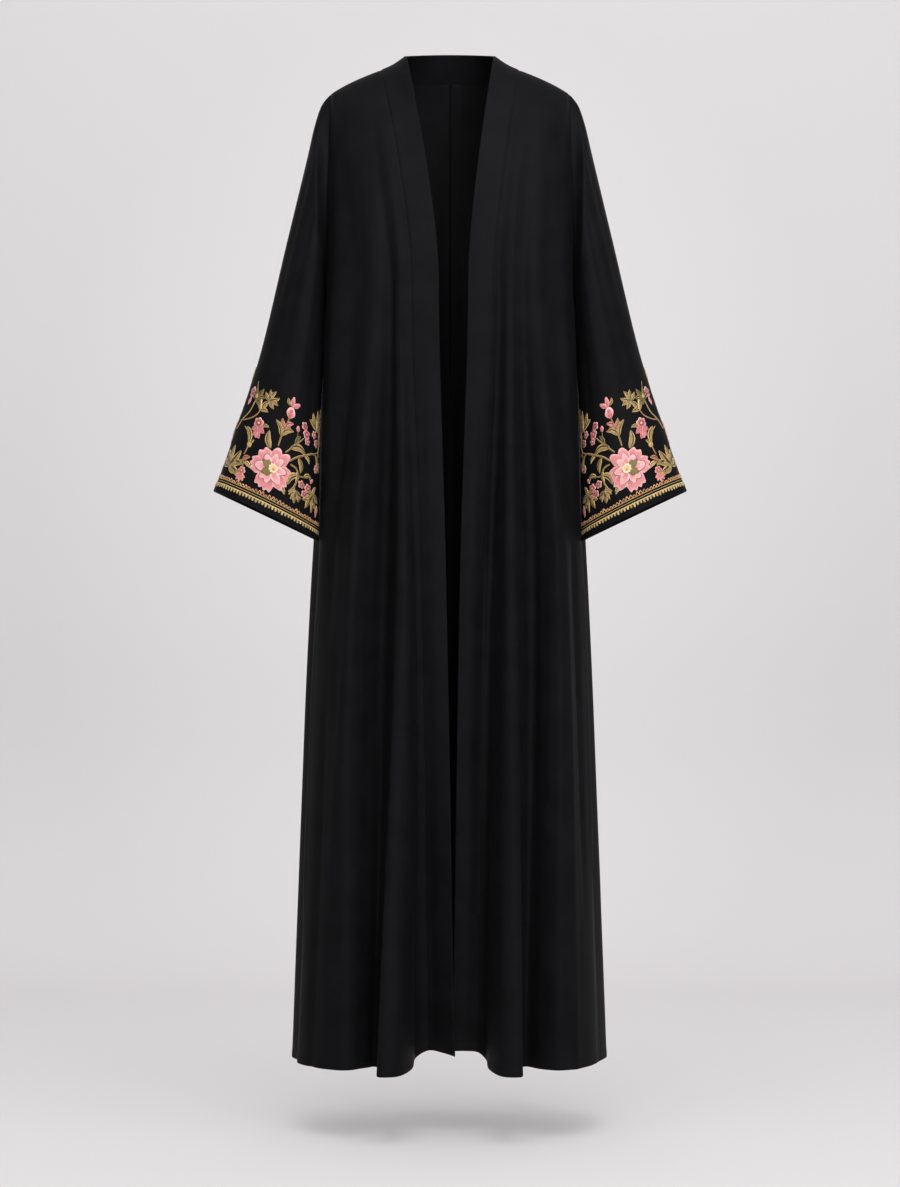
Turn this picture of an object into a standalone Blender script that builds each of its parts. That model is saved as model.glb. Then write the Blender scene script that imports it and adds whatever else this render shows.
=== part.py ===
"""Open-front abaya cloak, worn shape with no wearer: a hollow garment held up at its shoulders.

Run with: blender --background --python part.py

Metres, +Z up. The front faces -Y and the wearer's right side is at -X. The origin lies between the
shoulders, at mid height of the shoulder seams, where the wearer carries the garment.

Every cloth piece is a wall of real thickness. Its outer face follows grain lines that hang from the
shoulder: each line has a place at the chest, the hip and the hem, and the folds are the way these
places step forward and back from one line to the next.
"""

import math
from collections import namedtuple

import bpy
import numpy as np

# Cloth
CLOTH = 0.0016  # crepe of the panels and sleeves, with its seam allowances
BAND_CLOTH = 0.0026  # the doubled band along the opening
BAND_PROUD = 0.0005  # how far the band's face stands over the panels
SEAM_GAP = 0.0003  # between two pieces that are sewn together
TWISTED_SEAM_GAP = 0.0008  # drawn back by the neck band and the sleeves, whose seams twist most
MOST_SLANT = 0.55  # how far a wall may thin, across its own face, where it turns sharply at a seam

# Heights along the body
CHEST_Z = -0.300
UNDERARM_Z = -0.330
HIP_Z = -0.710
HEM_Z = -1.438

# Neck and shoulders
NECK_HALF = 0.0645  # centre to the band's free edge, on the shoulder
BAND_SEAM_HALF = 0.101  # centre to the band's seam, on the shoulder
TIP_HALF = 0.175  # centre to the armhole seam, on the shoulder
NECK_Z = 0.0272
BAND_SEAM_Z = 0.0062
TIP_Z = -0.0285
BAND_SAG = 0.002  # how far the band dips between its two edges on the shoulder
NECK_BACK_Y = 0.070  # the free edge at the back of the neck
NECK_BACK_Z = 0.0424
BAND_SEAM_BACK_Y = 0.088
BAND_SEAM_BACK_Z = 0.0007

# Armhole and sleeve
ARMHOLE_FRONT = 0.045
ARMHOLE_BACK = 0.052
UNDERARM_X = 0.180
UNDERARM_Y = -0.015
UNDERARM_FLARE = 0.065  # how fast the side seam spreads below the underarm
SLEEVE_FRONT = 0.062  # sleeve's half depth forwards of its own middle
SLEEVE_BACK = 0.062
CUFF_RISE = 0.0045  # how far the front of the cuff rises above the line between its two folds
FILL_OUT = 0.10  # share of the sleeve in which it fills out from the armhole to its full depth

# The smooth chest and shoulder blades that the folds grow out of
BODY_HALF = 0.1895
BODY_SQUARE = 4.2  # how squarely the body turns from front to side
CHEST_Y = -0.120
BLADE_Y = 0.121

# How finely the walls are divided
ARMHOLE_ROWS = 12
SKIRT_ROWS = 12
LINE_STEPS = 2  # divisions between two grain lines
NECK_STEPS = 24
BAND_LINES = 2  # the band takes the first two spaces between grain lines
SLEEVE_STATIONS = (0, 0.035, 0.08, 0.14, 0.22, 0.32, 0.43, 0.54, 0.66, 0.78, 0.90, 1)

# A grain line: where it lies at the chest, the hip and the hem, how far the hem is lifted there, and how
# fast it spreads just below the chest. x is measured from the centre towards the panel's own side.
Line = namedtuple("Line", "name x_top x_chest y_chest x_hip y_hip x_hem y_hem lift flare", defaults=(0.0,))

RIGHT_FRONT = (  # the wearer's right, at -X
    Line("free edge", 0.0645, 0.0157, -0.118, 0.0058, -0.118, -0.0063, -0.090, 0.016),
    Line("band middle", 0.0840, 0.0350, -0.119, 0.0235, -0.118, 0.0109, -0.075, 0.019),
    Line("band seam", 0.1010, 0.0546, -0.118, 0.0415, -0.113, 0.0311, -0.060, 0.020),
    Line("inner valley", 0.1050, 0.0615, -0.118, 0.0500, -0.115, 0.0480, -0.070, 0.012),
    Line("flute inner side", 0.1090, 0.0672, -0.119, 0.0560, -0.124, 0.0545, -0.120, 0.003),
    Line("flute crest", 0.1130, 0.0720, -0.120, 0.0650, -0.131, 0.0750, -0.166, 0.000),
    Line("flute edge", 0.1170, 0.0765, -0.118, 0.0742, -0.129, 0.1010, -0.170, 0.000),
    Line("flute outer side", 0.1210, 0.0812, -0.114, 0.0790, -0.108, 0.0990, -0.118, 0.000),
    Line("deep valley", 0.1260, 0.0862, -0.111, 0.0915, -0.089, 0.1090, -0.079, 0.000),
    Line("swell inner side", 0.1330, 0.0986, -0.114, 0.1119, -0.098, 0.1275, -0.102, 0.000),
    Line("swell crest", 0.1400, 0.1128, -0.112, 0.1385, -0.111, 0.1540, -0.113, 0.000),
    Line("swell outer side", 0.1480, 0.1262, -0.105, 0.1600, -0.091, 0.1850, -0.094, 0.000),
    Line("side valley", 0.1550, 0.1380, -0.101, 0.1740, -0.072, 0.2050, -0.075, 0.000),
    Line("side roll", 0.1640, 0.1636, -0.088, 0.1885, -0.047, 0.2180, -0.053, 0.000, 0.05),
    Line("side crease", 0.1700, 0.1735, -0.066, 0.1905, -0.024, 0.2212, -0.041, 0.000, 0.09),
)
LEFT_FRONT = (  # the wearer's left, at +X
    Line("free edge", 0.0645, 0.0254, -0.118, 0.0144, -0.116, 0.0034, -0.066, 0.020),
    Line("band middle", 0.0840, 0.0440, -0.119, 0.0320, -0.116, 0.0207, -0.064, 0.020),
    Line("band seam", 0.1010, 0.0630, -0.118, 0.0500, -0.102, 0.0394, -0.062, 0.018),
    Line("inner valley", 0.1050, 0.0690, -0.116, 0.0580, -0.097, 0.0510, -0.074, 0.010),
    Line("flute inner side", 0.1090, 0.0745, -0.117, 0.0680, -0.108, 0.0555, -0.122, 0.003),
    Line("flute crest", 0.1130, 0.0810, -0.119, 0.0800, -0.127, 0.0750, -0.167, 0.000),
    Line("flute edge", 0.1170, 0.0885, -0.119, 0.0935, -0.126, 0.1005, -0.169, 0.000),
    Line("flute outer side", 0.1210, 0.0950, -0.116, 0.0990, -0.108, 0.0980, -0.116, 0.000),
    Line("deep valley", 0.1270, 0.1040, -0.113, 0.1160, -0.089, 0.1085, -0.078, 0.000),
    Line("swell inner side", 0.1330, 0.1150, -0.114, 0.1340, -0.098, 0.1290, -0.100, 0.000),
    Line("swell crest", 0.1400, 0.1280, -0.111, 0.1539, -0.108, 0.1560, -0.113, 0.000),
    Line("swell outer side", 0.1480, 0.1390, -0.105, 0.1660, -0.093, 0.1820, -0.098, 0.000),
    Line("side valley", 0.1550, 0.1490, -0.099, 0.1765, -0.074, 0.2000, -0.076, 0.000),
    Line("side roll", 0.1640, 0.1640, -0.087, 0.1895, -0.047, 0.2120, -0.050, 0.000, 0.05),
    Line("side crease", 0.1700, 0.1735, -0.066, 0.1910, -0.024, 0.2150, -0.038, 0.000, 0.09),
)
RIGHT_BACK = (
    Line("side rim", 0.1680, 0.1745, 0.060, 0.2030, 0.034, 0.2320, 0.010, 0.000, 0.15),
    Line("rim roll", 0.1560, 0.1620, 0.088, 0.1900, 0.072, 0.2230, 0.052, 0.000, 0.08),
    Line("side valley", 0.1400, 0.1440, 0.104, 0.1680, 0.090, 0.1930, 0.070, 0.000),
    Line("outer flute side", 0.1230, 0.1260, 0.112, 0.1480, 0.108, 0.1730, 0.112, 0.000),
    Line("outer flute crest", 0.1010, 0.1060, 0.117, 0.1240, 0.126, 0.1500, 0.150, 0.000),
    Line("outer flute edge", 0.0976, 0.0940, 0.119, 0.1060, 0.124, 0.1230, 0.153, 0.000),
    Line("middle valley", 0.0875, 0.0810, 0.119, 0.0890, 0.108, 0.1080, 0.104, 0.000),
    Line("middle valley end", 0.0714, 0.0650, 0.120, 0.0700, 0.111, 0.0850, 0.100, 0.000),
    Line("inner flute crest", 0.0505, 0.0460, 0.121, 0.0490, 0.133, 0.0620, 0.158, 0.000),
    Line("inner flute edge", 0.0261, 0.0260, 0.121, 0.0260, 0.132, 0.0290, 0.160, 0.000),
    Line("centre back", 0.0000, 0.0000, 0.120, 0.0000, 0.119, 0.0000, 0.122, 0.000),
)
LEFT_BACK = (
    Line("side rim", 0.1680, 0.1745, 0.060, 0.2015, 0.034, 0.2300, 0.010, 0.000, 0.15),
    Line("rim roll", 0.1560, 0.1620, 0.088, 0.1900, 0.070, 0.2200, 0.056, 0.000, 0.08),
    Line("side valley", 0.1400, 0.1440, 0.104, 0.1700, 0.089, 0.1980, 0.074, 0.000),
    Line("outer flute side", 0.1230, 0.1260, 0.112, 0.1530, 0.106, 0.1790, 0.104, 0.000),
    Line("outer flute crest", 0.1010, 0.1060, 0.117, 0.1290, 0.124, 0.1550, 0.144, 0.000),
    Line("outer flute edge", 0.0976, 0.0940, 0.119, 0.1120, 0.126, 0.1320, 0.156, 0.000),
    Line("middle valley", 0.0875, 0.0810, 0.119, 0.0950, 0.110, 0.1080, 0.112, 0.000),
    Line("middle valley end", 0.0714, 0.0650, 0.120, 0.0760, 0.109, 0.0880, 0.098, 0.000),
    Line("inner flute crest", 0.0505, 0.0460, 0.121, 0.0560, 0.130, 0.0680, 0.150, 0.000),
    Line("inner flute edge", 0.0261, 0.0260, 0.121, 0.0310, 0.134, 0.0350, 0.164, 0.000),
    Line("centre back", 0.0000, 0.0000, 0.120, 0.0000, 0.119, 0.0000, 0.122, 0.000),
)
# The side seam, where front and back meet below the underarm: x outwards and y.
SEAM_HIP = (0.1895, -0.002)
SEAM_HEM = (0.2195, -0.026)

# The sleeve's outer fold, from the shoulder tip to the cuff, as worn: x outwards, y and z.
SleevePoint = namedtuple("SleevePoint", "x y z")
SLEEVE_OUTER = (
    SleevePoint(0.1750, 0.000, -0.0285),
    SleevePoint(0.1870, -0.001, -0.0440),
    SleevePoint(0.1955, -0.002, -0.0680),
    SleevePoint(0.2085, -0.006, -0.1240),
    SleevePoint(0.2360, -0.013, -0.2410),
    SleevePoint(0.2778, -0.022, -0.4170),
    SleevePoint(0.3155, -0.028, -0.5340),
    SleevePoint(0.3308, -0.029, -0.5790),
    SleevePoint(0.3437, -0.030, -0.6105),
)
SLEEVE_INNER = (
    SleevePoint(0.1800, -0.015, -0.3300),
    SleevePoint(0.1842, -0.018, -0.3650),
    SleevePoint(0.1887, -0.024, -0.5000),
    SleevePoint(0.1915, -0.030, -0.6830),
)

CREPE_BLACK = (0.010, 0.010, 0.012, 1.0)


def hermite(a, b, slope_a, slope_b, length, t):
    """A value that leaves a and reaches b with the given slopes, t of the way along length."""
    t2, t3 = t * t, t * t * t
    return (
        (2 * t3 - 3 * t2 + 1) * a
        + (t3 - 2 * t2 + t) * length * slope_a
        + (3 * t2 - 2 * t3) * b
        + (t3 - t2) * length * slope_b
    )


def hang(chest, hip, hem, hem_z, flare, z):
    """A grain line's x or y at height z, from chest to hem: it leaves the chest with the slope flare and
    is straight at the hem."""
    upper, lower = CHEST_Z - HIP_Z, HIP_Z - hem_z
    hip_slope = 0.5 * ((hip - chest) / upper + (hem - hip) / lower)
    hem_slope = (hem - hip) / lower
    if z > HIP_Z:
        return hermite(chest, hip, flare, hip_slope, upper, (CHEST_Z - z) / upper)
    return hermite(hip, hem, hip_slope, hem_slope, lower, (HIP_Z - z) / lower)


def through(points, steps):
    """A smooth curve through points, with steps divisions in each space, as rows of coordinates."""
    points = np.array(points, float)
    ends = (2 * points[0] - points[1], 2 * points[-1] - points[-2])
    padded = np.vstack([ends[0], points, ends[1]])
    knots = np.concatenate([[0], np.cumsum(np.sqrt(np.linalg.norm(np.diff(padded, axis=0), axis=1)))])
    curve = []
    for i in range(1, len(padded) - 2):
        k0, k1, k2, k3 = knots[i - 1 : i + 3]
        p0, p1, p2, p3 = padded[i - 1 : i + 3]
        slope_1 = (p1 - p0) / (k1 - k0) - (p2 - p0) / (k2 - k0) + (p2 - p1) / (k2 - k1)
        slope_2 = (p2 - p1) / (k2 - k1) - (p3 - p1) / (k3 - k1) + (p3 - p2) / (k3 - k2)
        for step in range(steps):
            curve.append(hermite(p1, p2, slope_1, slope_2, k2 - k1, step / steps))
    curve.append(points[-1])
    return np.array(curve)


def along(points, share):
    """The point at a share of the length of a smooth curve through points."""
    curve = through(points, 12)
    run = np.concatenate([[0], np.cumsum(np.linalg.norm(np.diff(curve, axis=0), axis=1))])
    return np.array([np.interp(share * run[-1], run, curve[:, k]) for k in range(3)])


def shoulder_z(x):
    """Height of the shoulder ridge at a distance from the centre, seen from the front."""
    if x <= BAND_SEAM_HALF:
        share = (x - NECK_HALF) / (BAND_SEAM_HALF - NECK_HALF)
        return NECK_Z + (BAND_SEAM_Z - NECK_Z) * share - BAND_SAG * 4 * share * (1 - share)
    share = (x - BAND_SEAM_HALF) / (TIP_HALF - BAND_SEAM_HALF)
    return BAND_SEAM_Z + (TIP_Z - BAND_SEAM_Z) * (0.82 * share + 0.18 * share**3)


def neck_seam(x):
    """Where the back panel's top edge lies, round the back of the neck, at a distance from the centre."""
    share = math.sqrt(max(0.0, 1 - (x / BAND_SEAM_HALF) ** 2))
    return BAND_SEAM_BACK_Y * share, BAND_SEAM_Z + (BAND_SEAM_BACK_Z - BAND_SEAM_Z) * share


def top_of(line, is_back):
    """The upper end of a grain line: on the shoulder ridge, or at the back of the neck."""
    if is_back and line.x_top < BAND_SEAM_HALF:
        y, z = neck_seam(line.x_top)
        return line.x_top, y, z
    return line.x_top, 0.0, shoulder_z(line.x_top)


def chest_depth(x, is_back):
    """How far the smooth body stands forwards or back at chest height."""
    full = BLADE_Y if is_back else CHEST_Y
    return full * math.sqrt(1 - (x / BODY_HALF) ** BODY_SQUARE)


def line_point(line, is_back, z_share, below):
    """A point of a grain line. Above the underarm z_share runs from the top; below it, to the hem."""
    x_top, y_top, z_top = top_of(line, is_back)
    hem_z = HEM_Z + line.lift
    z = UNDERARM_Z + (hem_z - UNDERARM_Z) * z_share if below else z_top + (UNDERARM_Z - z_top) * z_share
    if z > CHEST_Z:
        rise = (z - CHEST_Z) / (z_top - CHEST_Z)
        x = line.x_chest + (x_top - line.x_chest) * rise**1.4
        smooth = chest_depth(line.x_chest, is_back)
        full = smooth + (line.y_chest - smooth) * (1 - rise) ** 2
        y = full * math.sqrt(max(0.0, 1 - (1 - (y_top / full) ** 2) * rise**2))
    else:
        x = hang(line.x_chest, line.x_hip, line.x_hem, hem_z, line.flare, z)
        y = hang(line.y_chest, line.y_hip, line.y_hem, hem_z, 0.0, z)
    return np.array([x, y, z])


def armhole_share(w):
    """How far the armhole seam stands off its middle plane, w of the way from shoulder to underarm."""
    return max(0.0, math.sin(math.pi * w)) ** 0.75


def armhole_point(w, depth):
    """The armhole seam: depth is negative on the front and positive on the back."""
    tip = np.array(SLEEVE_OUTER[0])
    underarm = np.array([UNDERARM_X, UNDERARM_Y, UNDERARM_Z])
    return tip + (underarm - tip) * w + np.array([0, depth * armhole_share(w), 0])


def side_seam_point(share):
    """The side seam, from the underarm to the hem."""
    z = UNDERARM_Z + (HEM_Z - UNDERARM_Z) * share
    x = side_value(UNDERARM_X, SEAM_HIP[0], SEAM_HEM[0], UNDERARM_FLARE, z)
    y = side_value(UNDERARM_Y, SEAM_HIP[1], SEAM_HEM[1], 0.0, z)
    return np.array([x, y, z])


def side_value(underarm, hip, hem, flare, z):
    """x or y of the side seam at height z."""
    upper, lower = UNDERARM_Z - HIP_Z, HIP_Z - HEM_Z
    hem_slope = (hem - hip) / lower
    if z > HIP_Z:
        return hermite(underarm, hip, flare, hem_slope, upper, (UNDERARM_Z - z) / upper)
    return hermite(hip, hem, hem_slope, hem_slope, lower, (HIP_Z - z) / lower)


def row_shares():
    """Where the rows lie: (share, is below the underarm), shoulder first."""
    upper = [((k / ARMHOLE_ROWS) ** 1.5, False) for k in range(ARMHOLE_ROWS + 1)]
    return upper + [(k / SKIRT_ROWS, True) for k in range(1, SKIRT_ROWS + 1)]


def side_point(share, below, depth):
    """The outer edge of a front or back panel: the armhole, then the side seam."""
    return side_seam_point(share) if below else armhole_point(share, depth)


def front_grid(lines, side):
    """Rows of points from the free edge to the side, shoulder to hem. side is -1 at -X and 1 at +X."""
    rows = []
    for share, below in row_shares():
        points = [line_point(line, False, share, below) for line in lines]
        points.append(side_point(share, below, -ARMHOLE_FRONT))
        rows.append(through(points, LINE_STEPS))
    return np.array(rows) * [side, 1, 1]


def back_grid(lines, side):
    """Rows of points from the side to the centre back, shoulder to hem."""
    rows = []
    for share, below in row_shares():
        points = [side_point(share, below, ARMHOLE_BACK)]
        points += [line_point(line, True, share, below) for line in lines]
        rows.append(through(points, LINE_STEPS))
    rows[0] = back_top_row(lines)
    return np.array(rows) * [side, 1, 1]


def back_top_row(lines):
    """The back panel's top edge, which turns a corner where the shoulder meets the neck."""
    shoulder = [TIP_HALF] + [line.x_top for line in lines if line.x_top >= BAND_SEAM_HALF]
    row = []
    for x in np.interp(np.arange(LINE_STEPS * (len(shoulder) - 1)) / LINE_STEPS, range(len(shoulder)), shoulder):
        row.append([x, 0.0, shoulder_z(x)])
    for step in range(NECK_STEPS // 2 + 1):
        angle = math.pi * step / NECK_STEPS
        lift = math.sin(angle)
        row.append([BAND_SEAM_HALF * math.cos(angle), BAND_SEAM_BACK_Y * lift,
                    BAND_SEAM_Z + (BAND_SEAM_BACK_Z - BAND_SEAM_Z) * lift])
    return np.array(row)


def neck_grid():
    """The band round the back of the neck: rows from its seam up to its free edge."""
    rows = []
    for across in np.linspace(0, 1, BAND_LINES * LINE_STEPS + 1):
        row = []
        for angle in np.linspace(0, math.pi, NECK_STEPS + 1):
            lift = math.sin(angle)
            seam = np.array([-BAND_SEAM_HALF * math.cos(angle), BAND_SEAM_BACK_Y * lift,
                             BAND_SEAM_Z + (BAND_SEAM_BACK_Z - BAND_SEAM_Z) * lift])
            edge = np.array([-NECK_HALF * math.cos(angle), NECK_BACK_Y * lift,
                             NECK_Z + (NECK_BACK_Z - NECK_Z) * lift])
            point = seam + (edge - seam) * across
            point[2] -= BAND_SAG * 4 * across * (1 - across) * math.cos(angle) ** 2
            row.append(point)
        rows.append(row)
    return np.array(rows)


def sleeve_grid(side):
    """Rings of points from the armhole to the cuff. A ring starts at the shoulder fold, goes down the
    front to the underarm fold and comes back up the back."""
    rings = []
    for station in SLEEVE_STATIONS:
        outer = along(SLEEVE_OUTER, station)
        inner = along(SLEEVE_INNER, station)
        filled = min(1.0, station / FILL_OUT)
        filled = filled * filled * (3 - 2 * filled)
        front = ARMHOLE_FRONT + (SLEEVE_FRONT - ARMHOLE_FRONT) * filled
        back = ARMHOLE_BACK + (SLEEVE_BACK - ARMHOLE_BACK) * filled
        ring = []
        for k in range(2 * ARMHOLE_ROWS):
            is_front = k <= ARMHOLE_ROWS
            step = (k if is_front else 2 * ARMHOLE_ROWS - k) / ARMHOLE_ROWS
            w = step**1.5 * (1 - filled) + (1 - math.cos(math.pi * step)) / 2 * filled
            bulge = armhole_share(w) * (1 - filled) + math.sin(math.pi * step) ** 0.9 * filled
            depth = -front * bulge if is_front else back * bulge
            rise = CUFF_RISE * math.sin(math.pi * step) * station**2 if is_front else 0.0
            ring.append(outer + (inner - outer) * w + [0, depth, rise])
        rings.append(ring)
    return np.array(rings) * [side, 1, 1]


def key(point):
    """Names a place, so that pieces that share it find each other."""
    return tuple(np.round(point * 1e5).astype(int))


def surface_normals(grid, ring, flip):
    """The outward direction at each point of a grid, from the small faces round it."""
    rows, columns = grid.shape[:2]
    total = np.zeros_like(grid)
    for r in range(rows - 1):
        for c in range(columns if ring else columns - 1):
            corners = ((r, c), (r, (c + 1) % columns), (r + 1, (c + 1) % columns), (r + 1, c))
            p0, p1, p2, p3 = (grid[corner] for corner in corners)
            normal = np.cross(p2 - p0, p3 - p1)
            for corner in corners:
                total[corner] += -normal if flip else normal
    return total / np.linalg.norm(total, axis=2)[:, :, None]


def shared_normals(pieces):
    """One direction for each place, the same for every piece that meets there. Where a sleeve meets the
    body the direction halves the angle between the two."""
    places = {}
    for grid, ring, flip, *_ in pieces:
        for point, normal in zip(grid.reshape(-1, 3), surface_normals(grid, ring, flip).reshape(-1, 3)):
            sums = places.setdefault(key(point), np.zeros((2, 3)))
            sums[1 if ring else 0] += normal
    shared = {}
    for place, sums in places.items():
        total = sum(part / np.linalg.norm(part) for part in sums if np.any(part))
        if place[1] == 0 and place[2] > 1e5 * (TIP_Z - 0.001):
            total[1] = 0.0
        shared[place] = total / np.linalg.norm(total)
    return shared


def draw_back(grid, out, sides, gap):
    """Moves the named sides of a grid half a seam gap into the piece, square to the seam and to out."""
    moved = grid.copy()
    edges = {"top": (0, 1, 0), "bottom": (-1, -2, 0), "first": (0, 1, 1), "last": (-1, -2, 1)}
    for side in sides:
        edge, within, axis = edges[side]
        line, up = np.take(grid, edge, axis), np.take(out, edge, axis)
        run = np.gradient(line, axis=0)
        run -= up * np.sum(run * up, axis=1)[:, None]
        run /= np.linalg.norm(run, axis=1)[:, None]
        away = np.take(grid, within, axis) - line
        away -= up * np.sum(away * up, axis=1)[:, None]
        away -= run * np.sum(away * run, axis=1)[:, None]
        away *= gap / 2 / np.linalg.norm(away, axis=1)[:, None]
        if axis == 0:
            moved[edge] += away
        else:
            moved[:, edge] += away
    return moved


def wall(name, grid, normals, seams, ring, flip, proud, thickness, gap):
    """A closed wall: its outer face on grid, its inner face one thickness inside."""
    out = np.array([[normals[key(point)] for point in row] for row in grid])
    square = np.sum(out * surface_normals(grid, ring, flip), axis=2)[:, :, None]
    depth = thickness / np.clip(square, MOST_SLANT, 1.0)
    drawn = draw_back(grid, out, seams, gap)
    outer = drawn + out * proud
    inner = drawn + out * (proud - depth)
    rows, columns = grid.shape[:2]
    spans = columns if ring else columns - 1
    size = rows * columns

    def at(face, r, c):
        return face * size + r * columns + c % columns

    faces = []
    for r in range(rows - 1):
        for c in range(spans):
            faces.append((at(0, r, c), at(0, r, c + 1), at(0, r + 1, c + 1), at(0, r + 1, c)))
            faces.append((at(1, r, c), at(1, r + 1, c), at(1, r + 1, c + 1), at(1, r, c + 1)))
    for c in range(spans):
        faces.append((at(0, 0, c), at(1, 0, c), at(1, 0, c + 1), at(0, 0, c + 1)))
        faces.append((at(0, rows - 1, c), at(0, rows - 1, c + 1), at(1, rows - 1, c + 1), at(1, rows - 1, c)))
    if not ring:
        last = columns - 1
        for r in range(rows - 1):
            faces.append((at(0, r, 0), at(0, r + 1, 0), at(1, r + 1, 0), at(1, r, 0)))
            faces.append((at(0, r, last), at(1, r, last), at(1, r + 1, last), at(0, r + 1, last)))
    if flip:
        faces = [face[::-1] for face in faces]
    mesh = bpy.data.meshes.new(name)
    mesh.from_pydata(np.vstack([outer.reshape(-1, 3), inner.reshape(-1, 3)]).tolist(), [], faces)
    mesh.shade_smooth()
    mesh.set_sharp_from_angle(angle=math.radians(50))
    piece = bpy.data.objects.new(name, mesh)
    bpy.context.scene.collection.objects.link(piece)
    return piece


def crepe(name, roughness):
    """Matt black crepe."""
    material = bpy.data.materials.new(name)
    material.use_nodes = True
    shader = material.node_tree.nodes["Principled BSDF"]
    shader.inputs["Base Color"].default_value = CREPE_BLACK
    shader.inputs["Roughness"].default_value = roughness
    shader.inputs["Metallic"].default_value = 0.0
    return material


def build():
    """Makes the nine sewn pieces."""
    for item in list(bpy.data.objects):
        bpy.data.objects.remove(item)
    cut = BAND_LINES * LINE_STEPS
    right, left = front_grid(RIGHT_FRONT, -1), front_grid(LEFT_FRONT, 1)
    back_right, back_left = back_grid(RIGHT_BACK, -1), back_grid(LEFT_BACK, 1)
    neck = neck_grid()
    sleeve_right, sleeve_left = sleeve_grid(-1), sleeve_grid(1)
    body = ("top", "first", "last")
    # name, grid, is a ring, faces turned round, seams, stands proud, thickness, seam gap
    pieces = (
        ("front_right", right[:, cut:], False, False, body, 0.0, CLOTH, SEAM_GAP),
        ("front_left", left[:, cut:], False, True, body, 0.0, CLOTH, SEAM_GAP),
        ("band_right", right[:, : cut + 1], False, False, ("top", "last"), BAND_PROUD, BAND_CLOTH, SEAM_GAP),
        ("band_left", left[:, : cut + 1], False, True, ("top", "last"), BAND_PROUD, BAND_CLOTH, SEAM_GAP),
        ("back_right", back_right, False, False, body, 0.0, CLOTH, SEAM_GAP),
        ("back_left", back_left, False, True, body, 0.0, CLOTH, SEAM_GAP),
        ("neck_band", neck, False, True, body, BAND_PROUD, BAND_CLOTH, TWISTED_SEAM_GAP),
        ("sleeve_right", sleeve_right, True, True, ("top",), 0.0, CLOTH, TWISTED_SEAM_GAP),
        ("sleeve_left", sleeve_left, True, False, ("top",), 0.0, CLOTH, TWISTED_SEAM_GAP),
    )
    normals = shared_normals([piece[1:4] for piece in pieces])
    for name, grid, ring, flip, seams, proud, thickness, gap in pieces:
        piece = wall(name, grid, normals, seams, ring, flip, proud, thickness, gap)
        piece.data.materials.append(crepe(name + "_crepe", 0.62))


build()
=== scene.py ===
"""Visual model of the open-front abaya cloak: thin cloth shells on the solids' forms, with their creases,
hems, stitches and the embroidery of the cuffs. Metres, +Z up, the front faces -Y."""

import math
from collections import namedtuple

import bpy
import numpy as np
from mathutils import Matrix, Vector


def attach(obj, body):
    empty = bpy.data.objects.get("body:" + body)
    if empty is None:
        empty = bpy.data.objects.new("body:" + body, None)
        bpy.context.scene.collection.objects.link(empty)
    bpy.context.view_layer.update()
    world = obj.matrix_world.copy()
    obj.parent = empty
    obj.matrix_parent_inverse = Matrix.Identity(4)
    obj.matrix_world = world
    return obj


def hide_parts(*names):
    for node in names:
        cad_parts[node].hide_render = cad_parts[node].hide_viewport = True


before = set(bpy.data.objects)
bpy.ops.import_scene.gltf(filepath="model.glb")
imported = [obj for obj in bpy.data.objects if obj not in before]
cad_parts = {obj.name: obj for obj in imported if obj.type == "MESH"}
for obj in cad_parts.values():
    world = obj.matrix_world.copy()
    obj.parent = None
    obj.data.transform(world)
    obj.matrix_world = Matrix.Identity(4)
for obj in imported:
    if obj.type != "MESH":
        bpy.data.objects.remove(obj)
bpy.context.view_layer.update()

# Cloth, as it is shown
CLOTH = 0.0014
BAND_CLOTH = 0.0024
BAND_PROUD = 0.0005
SEAM_DIP = 0.0007  # how deep a seam's groove is
SEAM_DIP_REACH = 0.0016
HEM_WIDTH = 0.011
HEM_STEP = 0.0016  # the length over which a hem's turned cloth ends
HEM_PROUD = 0.00035
ALLOWANCE_WIDTH = 0.0125  # the pressed-open centre back seam's allowance, inside
ALLOWANCE_STEP = 0.0012
ALLOWANCE_PROUD = 0.0007
PRESSED_DIP = 0.0011  # the groove between its two allowances
PRESSED_DIP_REACH = 0.001
FOLD_INSIDE = 0.96  # a folded edge's inner face draws in a little less than its outer one
SHARP_FROM = math.radians(48)
SEWN_NEAR = 0.004  # edges of two pieces that lie closer than this are sewn together
SEWN_REACH = 0.022  # how far from a seam the cloth is free to crease
UNEVEN = 0.00030  # the faint unevenness of cloth that hangs
CREASE_FADE = 0.28  # the share of a crease's length in which it opens or closes

# Heights along the body
CHEST_Z = -0.300
UNDERARM_Z = -0.330
HIP_Z = -0.710
HEM_Z = -1.438

# Neck and shoulders
NECK_HALF = 0.0645  # centre to the band's free edge, on the shoulder
BAND_SEAM_HALF = 0.101  # centre to the band's seam, on the shoulder
TIP_HALF = 0.175  # centre to the armhole seam, on the shoulder
NECK_Z = 0.0272
BAND_SEAM_Z = 0.0062
TIP_Z = -0.0285
BAND_SAG = 0.002  # how far the band dips between its two edges on the shoulder
NECK_BACK_Y = 0.070  # the free edge at the back of the neck
NECK_BACK_Z = 0.0424
BAND_SEAM_BACK_Y = 0.088
BAND_SEAM_BACK_Z = 0.0007

# Armhole and sleeve
ARMHOLE_FRONT = 0.045
ARMHOLE_BACK = 0.052
UNDERARM_X = 0.180
UNDERARM_Y = -0.015
UNDERARM_FLARE = 0.065  # how fast the side seam spreads below the underarm
SLEEVE_FRONT = 0.062  # sleeve's half depth forwards of its own middle
SLEEVE_BACK = 0.062
CUFF_RISE = 0.0045  # how far the front of the cuff rises above the line between its two folds
FILL_OUT = 0.10  # share of the sleeve in which it fills out from the armhole to its full depth

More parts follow.
